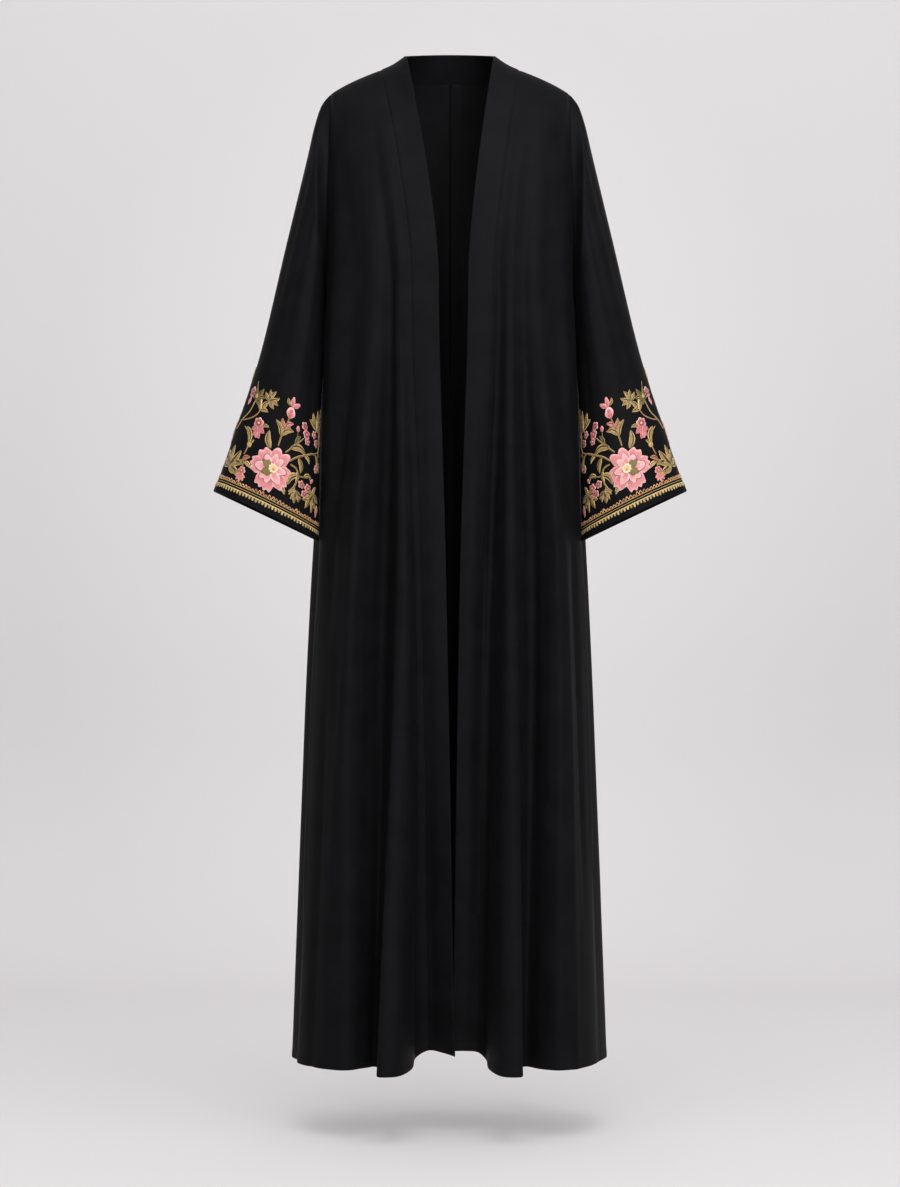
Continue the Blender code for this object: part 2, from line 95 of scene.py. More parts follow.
# The smooth chest and shoulder blades that the folds grow out of
BODY_HALF = 0.1895
BODY_SQUARE = 4.2  # how squarely the body turns from front to side
CHEST_Y = -0.120
BLADE_Y = 0.121


# A grain line: where it lies at the chest, the hip and the hem, how far the hem is lifted there, and how
# fast it spreads just below the chest. x is measured from the centre towards the panel's own side.
LINE_FIELDS = "name x_top x_chest y_chest x_hip y_hip x_hem y_hem lift flare"
Line = namedtuple("Line", LINE_FIELDS, defaults=(0.0, 0.0))

RIGHT_FRONT = (  # the wearer's right, at -X
    Line("free edge", 0.0645, 0.0157, -0.118, 0.0058, -0.118, -0.0063, -0.090, 0.016),
    Line("band middle", 0.0840, 0.0350, -0.119, 0.0235, -0.118, 0.0109, -0.075, 0.019),
    Line("band seam", 0.1010, 0.0546, -0.118, 0.0415, -0.113, 0.0311, -0.060, 0.020),
    Line("inner valley", 0.1050, 0.0615, -0.118, 0.0500, -0.115, 0.0480, -0.070, 0.012),
    Line("flute inner side", 0.1090, 0.0672, -0.119, 0.0560, -0.124, 0.0545, -0.120, 0.003),
    Line("flute crest", 0.1130, 0.0720, -0.120, 0.0650, -0.131, 0.0750, -0.166),
    Line("flute edge", 0.1170, 0.0765, -0.118, 0.0742, -0.129, 0.1010, -0.170),
    Line("flute outer side", 0.1210, 0.0812, -0.114, 0.0790, -0.108, 0.0990, -0.118),
    Line("deep valley", 0.1260, 0.0862, -0.111, 0.0915, -0.089, 0.1090, -0.079),
    Line("swell inner side", 0.1330, 0.0986, -0.114, 0.1119, -0.098, 0.1275, -0.102),
    Line("swell crest", 0.1400, 0.1128, -0.112, 0.1385, -0.111, 0.1540, -0.113),
    Line("swell outer side", 0.1480, 0.1262, -0.105, 0.1600, -0.091, 0.1850, -0.094),
    Line("side valley", 0.1550, 0.1380, -0.101, 0.1740, -0.072, 0.2050, -0.075),
    Line("side roll", 0.1640, 0.1636, -0.088, 0.1885, -0.047, 0.2180, -0.053, flare=0.05),
    Line("side crease", 0.1700, 0.1735, -0.066, 0.1905, -0.024, 0.2212, -0.041, flare=0.09),
)
LEFT_FRONT = (  # the wearer's left, at +X
    Line("free edge", 0.0645, 0.0254, -0.118, 0.0144, -0.116, 0.0034, -0.066, 0.020),
    Line("band middle", 0.0840, 0.0440, -0.119, 0.0320, -0.116, 0.0207, -0.064, 0.020),
    Line("band seam", 0.1010, 0.0630, -0.118, 0.0500, -0.102, 0.0394, -0.062, 0.018),
    Line("inner valley", 0.1050, 0.0690, -0.116, 0.0580, -0.097, 0.0510, -0.074, 0.010),
    Line("flute inner side", 0.1090, 0.0745, -0.117, 0.0680, -0.108, 0.0555, -0.122, 0.003),
    Line("flute crest", 0.1130, 0.0810, -0.119, 0.0800, -0.127, 0.0750, -0.167),
    Line("flute edge", 0.1170, 0.0885, -0.119, 0.0935, -0.126, 0.1005, -0.169),
    Line("flute outer side", 0.1210, 0.0950, -0.116, 0.0990, -0.108, 0.0980, -0.116),
    Line("deep valley", 0.1270, 0.1040, -0.113, 0.1160, -0.089, 0.1085, -0.078),
    Line("swell inner side", 0.1330, 0.1150, -0.114, 0.1340, -0.098, 0.1290, -0.100),
    Line("swell crest", 0.1400, 0.1280, -0.111, 0.1539, -0.108, 0.1560, -0.113),
    Line("swell outer side", 0.1480, 0.1390, -0.105, 0.1660, -0.093, 0.1820, -0.098),
    Line("side valley", 0.1550, 0.1490, -0.099, 0.1765, -0.074, 0.2000, -0.076),
    Line("side roll", 0.1640, 0.1640, -0.087, 0.1895, -0.047, 0.2120, -0.050, flare=0.05),
    Line("side crease", 0.1700, 0.1735, -0.066, 0.1910, -0.024, 0.2150, -0.038, flare=0.09),
)
RIGHT_BACK = (
    Line("side rim", 0.1680, 0.1745, 0.060, 0.2030, 0.034, 0.2320, 0.010, flare=0.15),
    Line("rim roll", 0.1560, 0.1620, 0.088, 0.1900, 0.072, 0.2230, 0.052, flare=0.08),
    Line("side valley", 0.1400, 0.1440, 0.104, 0.1680, 0.090, 0.1930, 0.070),
    Line("outer flute side", 0.1230, 0.1260, 0.112, 0.1480, 0.108, 0.1730, 0.112),
    Line("outer flute crest", 0.1010, 0.1060, 0.117, 0.1240, 0.126, 0.1500, 0.150),
    Line("outer flute edge", 0.0976, 0.0940, 0.119, 0.1060, 0.124, 0.1230, 0.153),
    Line("middle valley", 0.0875, 0.0810, 0.119, 0.0890, 0.108, 0.1080, 0.104),
    Line("middle valley end", 0.0714, 0.0650, 0.120, 0.0700, 0.111, 0.0850, 0.100),
    Line("inner flute crest", 0.0505, 0.0460, 0.121, 0.0490, 0.133, 0.0620, 0.158),
    Line("inner flute edge", 0.0261, 0.0260, 0.121, 0.0260, 0.132, 0.0290, 0.160),
    Line("centre back", 0.0000, 0.0000, 0.120, 0.0000, 0.119, 0.0000, 0.122),
)
LEFT_BACK = (
    Line("side rim", 0.1680, 0.1745, 0.060, 0.2015, 0.034, 0.2300, 0.010, flare=0.15),
    Line("rim roll", 0.1560, 0.1620, 0.088, 0.1900, 0.070, 0.2200, 0.056, flare=0.08),
    Line("side valley", 0.1400, 0.1440, 0.104, 0.1700, 0.089, 0.1980, 0.074),
    Line("outer flute side", 0.1230, 0.1260, 0.112, 0.1530, 0.106, 0.1790, 0.104),
    Line("outer flute crest", 0.1010, 0.1060, 0.117, 0.1290, 0.124, 0.1550, 0.144),
    Line("outer flute edge", 0.0976, 0.0940, 0.119, 0.1120, 0.126, 0.1320, 0.156),
    Line("middle valley", 0.0875, 0.0810, 0.119, 0.0950, 0.110, 0.1080, 0.112),
    Line("middle valley end", 0.0714, 0.0650, 0.120, 0.0760, 0.109, 0.0880, 0.098),
    Line("inner flute crest", 0.0505, 0.0460, 0.121, 0.0560, 0.130, 0.0680, 0.150),
    Line("inner flute edge", 0.0261, 0.0260, 0.121, 0.0310, 0.134, 0.0350, 0.164),
    Line("centre back", 0.0000, 0.0000, 0.120, 0.0000, 0.119, 0.0000, 0.122),
)
# The side seam, where front and back meet below the underarm: x outwards and y.
SEAM_HIP = (0.1895, -0.002)
SEAM_HEM = (0.2195, -0.026)

# A sleeve's two folds as worn, from the shoulder tip or the underarm down to the cuff: x outwards, y and z.
SLEEVE_OUTER = (
    (0.1750, 0.000, -0.0285),
    (0.1870, -0.001, -0.0440),
    (0.1955, -0.002, -0.0680),
    (0.2085, -0.006, -0.1240),
    (0.2360, -0.013, -0.2410),
    (0.2778, -0.022, -0.4170),
    (0.3155, -0.028, -0.5340),
    (0.3308, -0.029, -0.5790),
    (0.3437, -0.030, -0.6105),
)
SLEEVE_INNER = (
    (0.1800, -0.015, -0.3300),
    (0.1842, -0.018, -0.3650),
    (0.1887, -0.024, -0.5000),
    (0.1915, -0.030, -0.6830),
)


def hermite(a, b, slope_a, slope_b, length, t):
    """A value that leaves a and reaches b with the given slopes, t of the way along length."""
    t2, t3 = t * t, t * t * t
    return (
        (2 * t3 - 3 * t2 + 1) * a
        + (t3 - 2 * t2 + t) * length * slope_a
        + (3 * t2 - 2 * t3) * b
        + (t3 - t2) * length * slope_b
    )


def hang(chest, hip, hem, hem_z, flare, z):
    """A grain line's x or y at height z, from chest to hem: it leaves the chest with the slope flare and
    is straight at the hem."""
    upper, lower = CHEST_Z - HIP_Z, HIP_Z - hem_z
    hip_slope = 0.5 * ((hip - chest) / upper + (hem - hip) / lower)
    hem_slope = (hem - hip) / lower
    if z > HIP_Z:
        return hermite(chest, hip, flare, hip_slope, upper, (CHEST_Z - z) / upper)
    return hermite(hip, hem, hip_slope, hem_slope, lower, (HIP_Z - z) / lower)


def shoulder_z(x):
    """Height of the shoulder ridge at a distance from the centre, seen from the front."""
    if x <= BAND_SEAM_HALF:
        share = (x - NECK_HALF) / (BAND_SEAM_HALF - NECK_HALF)
        return NECK_Z + (BAND_SEAM_Z - NECK_Z) * share - BAND_SAG * 4 * share * (1 - share)
    share = (x - BAND_SEAM_HALF) / (TIP_HALF - BAND_SEAM_HALF)
    return BAND_SEAM_Z + (TIP_Z - BAND_SEAM_Z) * (0.82 * share + 0.18 * share**3)


def neck_seam(x):
    """Where the back panel's top edge lies, round the back of the neck, at a distance from the centre."""
    share = math.sqrt(max(0.0, 1 - (x / BAND_SEAM_HALF) ** 2))
    return BAND_SEAM_BACK_Y * share, BAND_SEAM_Z + (BAND_SEAM_BACK_Z - BAND_SEAM_Z) * share


def top_of(line, is_back):
    """The upper end of a grain line: on the shoulder ridge, or at the back of the neck."""
    if is_back and line.x_top < BAND_SEAM_HALF:
        y, z = neck_seam(line.x_top)
        return line.x_top, y, z
    return line.x_top, 0.0, shoulder_z(line.x_top)


def chest_depth(x, is_back):
    """How far the smooth body stands forwards or back at chest height."""
    full = BLADE_Y if is_back else CHEST_Y
    return full * math.sqrt(1 - (x / BODY_HALF) ** BODY_SQUARE)


def line_point(line, is_back, z_share, below):
    """A point of a grain line. Above the underarm z_share runs from the top; below it, to the hem."""
    x_top, y_top, z_top = top_of(line, is_back)
    hem_z = HEM_Z + line.lift
    z = UNDERARM_Z + (hem_z - UNDERARM_Z) * z_share if below else z_top + (UNDERARM_Z - z_top) * z_share
    if z > CHEST_Z:
        rise = (z - CHEST_Z) / (z_top - CHEST_Z)
        x = line.x_chest + (x_top - line.x_chest) * rise**1.4
        smooth = chest_depth(line.x_chest, is_back)
        full = smooth + (line.y_chest - smooth) * (1 - rise) ** 2
        y = full * math.sqrt(max(0.0, 1 - (1 - (y_top / full) ** 2) * rise**2))
    else:
        x = hang(line.x_chest, line.x_hip, line.x_hem, hem_z, line.flare, z)
        y = hang(line.y_chest, line.y_hip, line.y_hem, hem_z, 0.0, z)
    return np.array([x, y, z])


def armhole_share(w):
    """How far the armhole seam stands off its middle plane, w of the way from shoulder to underarm."""
    return max(0.0, math.sin(math.pi * w)) ** 0.75


def armhole_point(w, depth):
    """The armhole seam: depth is negative on the front and positive on the back."""
    tip = np.array(SLEEVE_OUTER[0])
    underarm = np.array([UNDERARM_X, UNDERARM_Y, UNDERARM_Z])
    return tip + (underarm - tip) * w + np.array([0, depth * armhole_share(w), 0])


def side_seam_point(share):
    """The side seam, from the underarm to the hem."""
    z = UNDERARM_Z + (HEM_Z - UNDERARM_Z) * share
    x = side_value(UNDERARM_X, SEAM_HIP[0], SEAM_HEM[0], UNDERARM_FLARE, z)
    y = side_value(UNDERARM_Y, SEAM_HIP[1], SEAM_HEM[1], 0.0, z)
    return np.array([x, y, z])


def side_value(underarm, hip, hem, flare, z):
    """x or y of the side seam at height z."""
    upper, lower = UNDERARM_Z - HIP_Z, HIP_Z - HEM_Z
    hem_slope = (hem - hip) / lower
    if z > HIP_Z:
        return hermite(underarm, hip, flare, hem_slope, upper, (UNDERARM_Z - z) / upper)
    return hermite(hip, hem, hem_slope, hem_slope, lower, (HIP_Z - z) / lower)


# How finely the shells are divided
ARMHOLE_ROWS = 40
SKIRT_ROWS = 64
PANEL_STEPS = 7  # divisions between two grain lines
FINE_PLACES = (0.03, 0.07, 0.12)  # extra places beside a panel's sides, in grain lines
NECK_STEPS = 96
NECK_ROWS = 15
NECK_FINE_ROWS = (0.015, 0.035, 0.965, 0.985)  # extra rows beside the neck band's two edges
EDGE_ROWS = (0.0006, 0.0014, 0.0026, 0.0045, 0.0075, 0.0105, 0.0118, 0.015)  # extra rows above a hem
SLEEVE_RINGS = 52
SLEEVE_LENGTH = 0.47
CUFF_ROWS = 0.016  # how far above the cuff's edge the even rings end
BAND_LINES = 2  # the band takes the first two spaces between grain lines

# A soft trough or ridge of the cloth, which runs from one place to another. p is the place along the row,
# counted in grain lines from the free edge (fronts) or from the side (backs), and at is the height z there.
# Depth is along the outward direction: negative is a trough.
Crease = namedtuple("Crease", "p_from at_from p_to at_to width depth")
FRONT_RIGHT_CREASES = (
    Crease(9.6, -0.060, 8.9, -0.420, 0.016, -0.0012),
    Crease(12.4, -0.090, 11.6, -0.520, 0.013, -0.0014),
    Crease(13.2, -0.260, 12.4, -0.760, 0.009, 0.0020),
    Crease(7.4, -0.250, 7.8, -0.620, 0.006, -0.0027),
    Crease(7.9, -0.380, 8.4, -1.050, 0.010, -0.0055),
    Crease(12.0, -0.300, 11.5, -0.880, 0.010, -0.0035),
    Crease(9.6, -0.420, 10.6, -1.220, 0.010, 0.0034),
    Crease(8.8, -0.640, 8.9, -1.438, 0.011, -0.0040),
    Crease(4.6, -0.600, 4.4, -1.300, 0.008, 0.0026),
    Crease(10.6, -0.900, 10.9, -1.438, 0.010, 0.0020),
    Crease(11.5, -0.860, 11.8, -1.438, 0.008, -0.0032),
    Crease(3.6, -0.700, 3.4, -1.300, 0.007, 0.0022),
    Crease(13.4, -0.700, 13.6, -1.300, 0.007, 0.0030),
)
FRONT_LEFT_CREASES = (
    Crease(8.2, -0.070, 8.6, -0.460, 0.015, -0.0012),
    Crease(11.2, -0.080, 11.6, -0.560, 0.014, -0.0015),
    Crease(12.9, -0.240, 12.4, -0.700, 0.008, 0.0021),
    Crease(3.4, -0.240, 3.1, -0.820, 0.007, -0.0030),
    Crease(5.2, -0.320, 5.6, -1.360, 0.008, 0.0020),
    Crease(8.0, -0.360, 8.1, -1.150, 0.010, -0.0052),
    Crease(10.8, -0.520, 10.9, -1.438, 0.009, 0.0034),
    Crease(9.4, -0.700, 9.2, -1.200, 0.008, 0.0018),
    Crease(12.0, -0.600, 12.0, -1.260, 0.007, -0.0034),
    Crease(1.9, -0.640, 1.8, -1.300, 0.008, -0.0024),
    Crease(13.5, -0.620, 13.3, -1.240, 0.008, 0.0032),
)
BACK_RIGHT_CREASES = (
    Crease(2.0, -0.100, 2.6, -0.560, 0.015, -0.0016),
    Crease(4.6, -0.180, 5.4, -0.700, 0.012, -0.0021),
    Crease(8.3, -0.320, 8.0, -0.900, 0.011, -0.0027),
    Crease(9.4, -0.420, 9.2, -1.438, 0.011, 0.0030),
    Crease(6.8, -0.560, 6.6, -1.438, 0.010, -0.0032),
    Crease(3.4, -0.620, 3.3, -1.438, 0.011, -0.0036),
    Crease(1.4, -0.600, 1.6, -1.300, 0.010, 0.0028),
)
BACK_LEFT_CREASES = (
    Crease(2.3, -0.090, 2.2, -0.500, 0.014, -0.0015),
    Crease(4.2, -0.200, 4.9, -0.760, 0.013, -0.0023),
    Crease(7.9, -0.300, 8.3, -0.860, 0.011, -0.0025),
    Crease(9.3, -0.480, 9.5, -1.438, 0.010, 0.0028),
    Crease(6.5, -0.600, 6.9, -1.438, 0.011, -0.0034),
    Crease(3.7, -0.540, 3.5, -1.438, 0.010, -0.0034),
    Crease(1.6, -0.660, 1.4, -1.360, 0.010, 0.0030),
)
# On a sleeve p is the share of the way round, from the shoulder fold down the front (0 to 0.5) and back up,
# and at is the share of the way down, from the armhole to the cuff.
SLEEVE_CREASES = (
    Crease(0.12, 0.02, 0.09, 0.60, 0.012, -0.0016),
    Crease(0.22, 0.03, 0.16, 0.84, 0.014, -0.0020),
    Crease(0.31, 0.10, 0.27, 0.96, 0.011, 0.0014),
    Crease(0.38, 0.18, 0.36, 0.90, 0.010, -0.0018),
    Crease(0.62, 0.12, 0.64, 0.92, 0.012, -0.0019),
    Crease(0.71, 0.04, 0.76, 0.78, 0.015, -0.0021),
    Crease(0.84, 0.06, 0.87, 0.66, 0.012, -0.0015),
)
# The inner fold of a sleeve leans in to the body below the armhole.
LEANS_IN = 0.0048
LEAN_Z = -0.366  # the height where it leans most
LEAN_ABOVE = 0.030  # the lengths over which the lean fades, above that height and below it
LEAN_BELOW = 0.080
LEAN_ROUND = 0.10  # the share of the way round that leans, to either side of the fold


def curve_at(points, places):
    """A smooth curve through points, read at places counted in points."""
    points = np.array(points, float)
    padded = np.vstack([2 * points[0] - points[1], points, 2 * points[-1] - points[-2]])
    knots = np.concatenate([[0], np.cumsum(np.sqrt(np.linalg.norm(np.diff(padded, axis=0), axis=1)))])
    k0, k1, k2, k3 = knots[:-3], knots[1:-2], knots[2:-1], knots[3:]
    p0, p1, p2, p3 = padded[:-3], padded[1:-2], padded[2:-1], padded[3:]
    k0, k1, k2, k3 = (k[:, None] for k in (k0, k1, k2, k3))
    slope_1 = (p1 - p0) / (k1 - k0) - (p2 - p0) / (k2 - k0) + (p2 - p1) / (k2 - k1)
    slope_2 = (p2 - p1) / (k2 - k1) - (p3 - p1) / (k3 - k1) + (p3 - p2) / (k3 - k2)
    places = np.asarray(places, float)
    i = np.clip(places.astype(int), 0, len(points) - 2)
    t = (places - i)[:, None]
    return hermite(p1[i], p2[i], slope_1[i], slope_2[i], (k2 - k1)[i], t)


def along(points, share):
    """The point at a share of the length of a smooth curve through points."""
    curve = curve_at(points, np.linspace(0, len(points) - 1, 12 * (len(points) - 1) + 1))
    run = np.concatenate([[0], np.cumsum(np.linalg.norm(np.diff(curve, axis=0), axis=1))])
    return np.array([np.interp(share * run[-1], run, curve[:, k]) for k in range(3)])


def row_shares():
    """Where the rows lie: (share, is below the underarm), shoulder first, closer together at the hem."""
    upper = [((k / ARMHOLE_ROWS) ** 1.5, False) for k in range(ARMHOLE_ROWS + 1)]
    length = UNDERARM_Z - HEM_Z
    lower = [k / SKIRT_ROWS * (1 - EDGE_ROWS[-1] / length) for k in range(1, SKIRT_ROWS + 1)]
    lower += [1 - row / length for row in reversed(EDGE_ROWS[:-1])] + [1.0]
    return upper + [(share, True) for share in lower]


def side_point(share, below, depth):
    """The outer edge of a front or back panel: the armhole, then the side seam."""
    return side_seam_point(share) if below else armhole_point(share, depth)


def columns(first, last):
    """Places along a row, closer together beside its two ends."""
    places = list(np.linspace(first, last, int(round((last - first) * PANEL_STEPS)) + 1))
    places += [first + fine for fine in FINE_PLACES]
    places += [last - fine for fine in FINE_PLACES]
    return np.array(sorted(places))


def front_grid(lines, side, places):
    """Rows of points of a front, shoulder to hem, at places counted in grain lines from the free edge."""
    rows = []
    for share, below in row_shares():
        points = [line_point(line, False, share, below) for line in lines]
        points.append(side_point(share, below, -ARMHOLE_FRONT))
        rows.append(curve_at(points, places))
    return np.array(rows) * [side, 1, 1]


def back_grid(lines, side, places):
    """Rows of points of a back, shoulder to hem, from the side to the centre back."""
    rows = []
    for share, below in row_shares():
        points = [side_point(share, below, ARMHOLE_BACK)]
        points += [line_point(line, True, share, below) for line in lines]
        rows.append(curve_at(points, places))
    rows[0] = back_top_row(lines, places)
    return np.array(rows) * [side, 1, 1]


def back_top_row(lines, places):
    """The back's top edge, which turns a corner where the shoulder meets the neck."""
    shoulder = [TIP_HALF] + [line.x_top for line in lines if line.x_top >= BAND_SEAM_HALF]
    corner = len(shoulder) - 1
    last = len(lines)
    row = []
    for place in places:
        if place <= corner:
            x = np.interp(place, range(len(shoulder)), shoulder)
            row.append([x, 0.0, shoulder_z(x)])
        else:
            angle = math.pi / 2 * (place - corner) / (last - corner)
            lift = math.sin(angle)
            row.append([BAND_SEAM_HALF * math.cos(angle), BAND_SEAM_BACK_Y * lift,
                        BAND_SEAM_Z + (BAND_SEAM_BACK_Z - BAND_SEAM_Z) * lift])
    return np.array(row)


def neck_grid(shares):
    """The band round the back of the neck: rows from its seam up to its free edge."""
    rows = []
    for across in shares:
        row = []
        for angle in np.linspace(0, math.pi, NECK_STEPS + 1):
            lift = math.sin(angle)
            seam = np.array([-BAND_SEAM_HALF * math.cos(angle), BAND_SEAM_BACK_Y * lift,
                             BAND_SEAM_Z + (BAND_SEAM_BACK_Z - BAND_SEAM_Z) * lift])
            edge = np.array([-NECK_HALF * math.cos(angle), NECK_BACK_Y * lift,
                             NECK_Z + (NECK_BACK_Z - NECK_Z) * lift])
            point = seam + (edge - seam) * across
            point[2] -= BAND_SAG * 4 * across * (1 - across) * math.cos(angle) ** 2
            row.append(point)
        rows.append(row)
    return np.array(rows)


def sleeve_ring(station, around):
    """One ring of a sleeve at places round it: 0 at the shoulder fold, 0.5 at the underarm, 1 back again."""
    outer, inner = along(SLEEVE_OUTER, station), along(SLEEVE_INNER, station)
    filled = min(1.0, station / FILL_OUT)
    filled = filled * filled * (3 - 2 * filled)
    front = ARMHOLE_FRONT + (SLEEVE_FRONT - ARMHOLE_FRONT) * filled
    back = ARMHOLE_BACK + (SLEEVE_BACK - ARMHOLE_BACK) * filled
    ring = []
    for place in around:
        is_front = place <= 0.5
        step = 2 * place if is_front else 2 - 2 * place
        w = step**1.5 * (1 - filled) + (1 - math.cos(math.pi * step)) / 2 * filled
        bulge = armhole_share(w) * (1 - filled) + max(0.0, math.sin(math.pi * step)) ** 0.9 * filled
        depth = -front * bulge if is_front else back * bulge
        rise = CUFF_RISE * math.sin(math.pi * step) * station**2 if is_front else 0.0
        ring.append(outer + (inner - outer) * w + [0, depth, rise])
    return np.array(ring)


def sleeve_stations():
    """Where a sleeve's rings lie, closer together at the armhole and at the cuff."""
    last = 1 - CUFF_ROWS / SLEEVE_LENGTH
    stations = [(k / SLEEVE_RINGS) ** 1.25 * last for k in range(SLEEVE_RINGS + 1)]
    return stations + [1 - row / SLEEVE_LENGTH for row in reversed(EDGE_ROWS[:-1])] + [1.0]


def normals_of(grid, ring, flip):
    """The outward direction at each point of a grid."""
    around = np.concatenate([grid[:, -1:], grid, grid[:, :1]], axis=1) if ring else None
    across = (around[:, 2:] - around[:, :-2]) if ring else np.gradient(grid, axis=1)
    down = np.gradient(grid, axis=0)
    normal = np.cross(across, down)
    normal /= np.maximum(np.linalg.norm(normal, axis=2), 1e-12)[:, :, None]
    return -normal if flip else normal


def edge_slices(grid, ring):
    """The sides of a grid, as indexes."""
    rows, cols = grid.shape[:2]
    sides = [(np.zeros(cols, int), np.arange(cols)), (np.full(cols, rows - 1), np.arange(cols))]
    if not ring:
        sides += [(np.arange(rows), np.zeros(rows, int)), (np.arange(rows), np.full(rows, cols - 1))]
    return sides


def meet(pieces):
    """Gives pieces that meet at a seam one outward direction there, so that no light shows between them.
    pieces maps a name to (grid, ring, flip). The directions come back by name."""
    outs = {name: normals_of(*piece) for name, piece in pieces.items()}
    edges = {}
    for name, (grid, ring, flip) in pieces.items():
        for k, (r, c) in enumerate(edge_slices(grid, ring)):
            edges[name, k] = (grid[r, c], outs[name][r, c])
    shared = {name: out.copy() for name, out in outs.items()}
    for name, (grid, ring, flip) in pieces.items():
        for r, c in edge_slices(grid, ring):
            points, total = grid[r, c], outs[name][r, c].copy()
            found = {}
            for (other, k), (line, out) in edges.items():
                if other == name:
                    continue
                apart = np.linalg.norm(points[:, None] - line[None], axis=2)
                nearest = apart.argmin(axis=1)
                gap = apart[np.arange(len(points)), nearest]
                best = found.setdefault(other, [np.full(len(points), SEWN_NEAR), np.zeros_like(points)])
                closer = gap < best[0]
                best[0][closer] = gap[closer]
                best[1][closer] = out[nearest[closer]]
            for gap, out in found.values():
                total += out
            shared[name][r, c] = total / np.linalg.norm(total, axis=1)[:, None]
    return shared


def run_of(grid, axis):
    """Distances along the rows (axis 1) or columns (axis 0) of a grid, from its first edge."""
    steps = np.linalg.norm(np.diff(grid, axis=axis), axis=2)
    run = np.cumsum(steps, axis=axis)
    zero = np.zeros((grid.shape[0], 1)) if axis == 1 else np.zeros((1, grid.shape[1]))
    return np.concatenate([zero, run], axis=axis)


def ease(t):
    """A soft step from 0 to 1."""
    t = np.clip(t, 0, 1)
    return t * t * (3 - 2 * t)


def away_from_sides(grid):
    """How far each point of a grid is from each of its sides, along the cloth."""
    down, right = run_of(grid, 0), run_of(grid, 1)
    return {"top": down, "bottom": down[-1:] - down, "first": right, "last": right[:, -1:] - right}


def sewn_fade(grid, sewn):
    """How free the cloth is to crease: nothing at the sewn sides, all of it a little way off."""
    away = away_from_sides(grid)
    free = np.ones(grid.shape[:2])
    for side in sewn:
        free = free * ease(away[side] / SEWN_REACH)
    return free


def crease_shift(run, at, places, crease):
    """How far a crease moves each point. run is the distance along each row, and at is how far down each
    point lies, in the crease's own measure."""
    long = crease.at_to - crease.at_from
    share = np.clip((np.median(at, axis=1) - crease.at_from) / long, 0, 1)
    place = crease.p_from + (crease.p_to - crease.p_from) * share
    middle = np.array([np.interp(place[r], places, run[r]) for r in range(len(run))])
    share = (at - crease.at_from) / long
    opens = ease(share / CREASE_FADE)
    closes = 1.0 if crease.at_to == HEM_Z else ease((1 - share) / CREASE_FADE)
    return crease.depth * np.exp(-(((run - middle[:, None]) / crease.width) ** 2)) * opens * closes


def hung(grid, at, places, creases, ring, flip, sewn, seed):
    """A piece with its creases and the faint unevenness of cloth that hangs. The seed makes that unevenness
    its own, and the sewn sides stay where they are."""
    run = run_of(grid, 1)
    shift = waves(grid, seed) * UNEVEN
    for crease in creases:
        shift = shift + crease_shift(run, at, places, crease)
    return grid + normals_of(grid, ring, flip) * (shift * sewn_fade(grid, sewn))[:, :, None]


def leaned_in(grid, around):
    """A sleeve whose inner fold leans in to the body below the armhole."""
    below = grid[:, :, 2] - LEAN_Z
    fade = np.where(below < 0, LEAN_BELOW, LEAN_ABOVE)
    near = ease(1 - np.abs(around - 0.5) / LEAN_ROUND)[None, :] * np.exp(-((below / fade) ** 2))
    grid[:, :, 0] -= np.sign(grid[:, :, 0]) * LEANS_IN * near
    return grid


def waves(grid, seed):
    """Slow waves between -1.25 and 1.25, unlike for each seed."""
    x, y, z = grid[:, :, 0], grid[:, :, 1], grid[:, :, 2]
    wave = np.sin(31 * x + 23 * y + 5.3 * z + seed) * np.sin(7.1 * z + 17 * x + 2.1 * seed)
    return wave + 0.25 * np.sin(71 * x - 47 * y + 13.7 * z + 1.7 * seed) * np.sin(19 * z - 29 * x + seed)


def fold_round(distance, half):
    """How far a wall's face draws in beside a folded edge, for a round fold of this half thickness."""
    near = np.clip(1 - distance / half, 0, 1)
    return half * (1 - np.sqrt(1 - near**2))


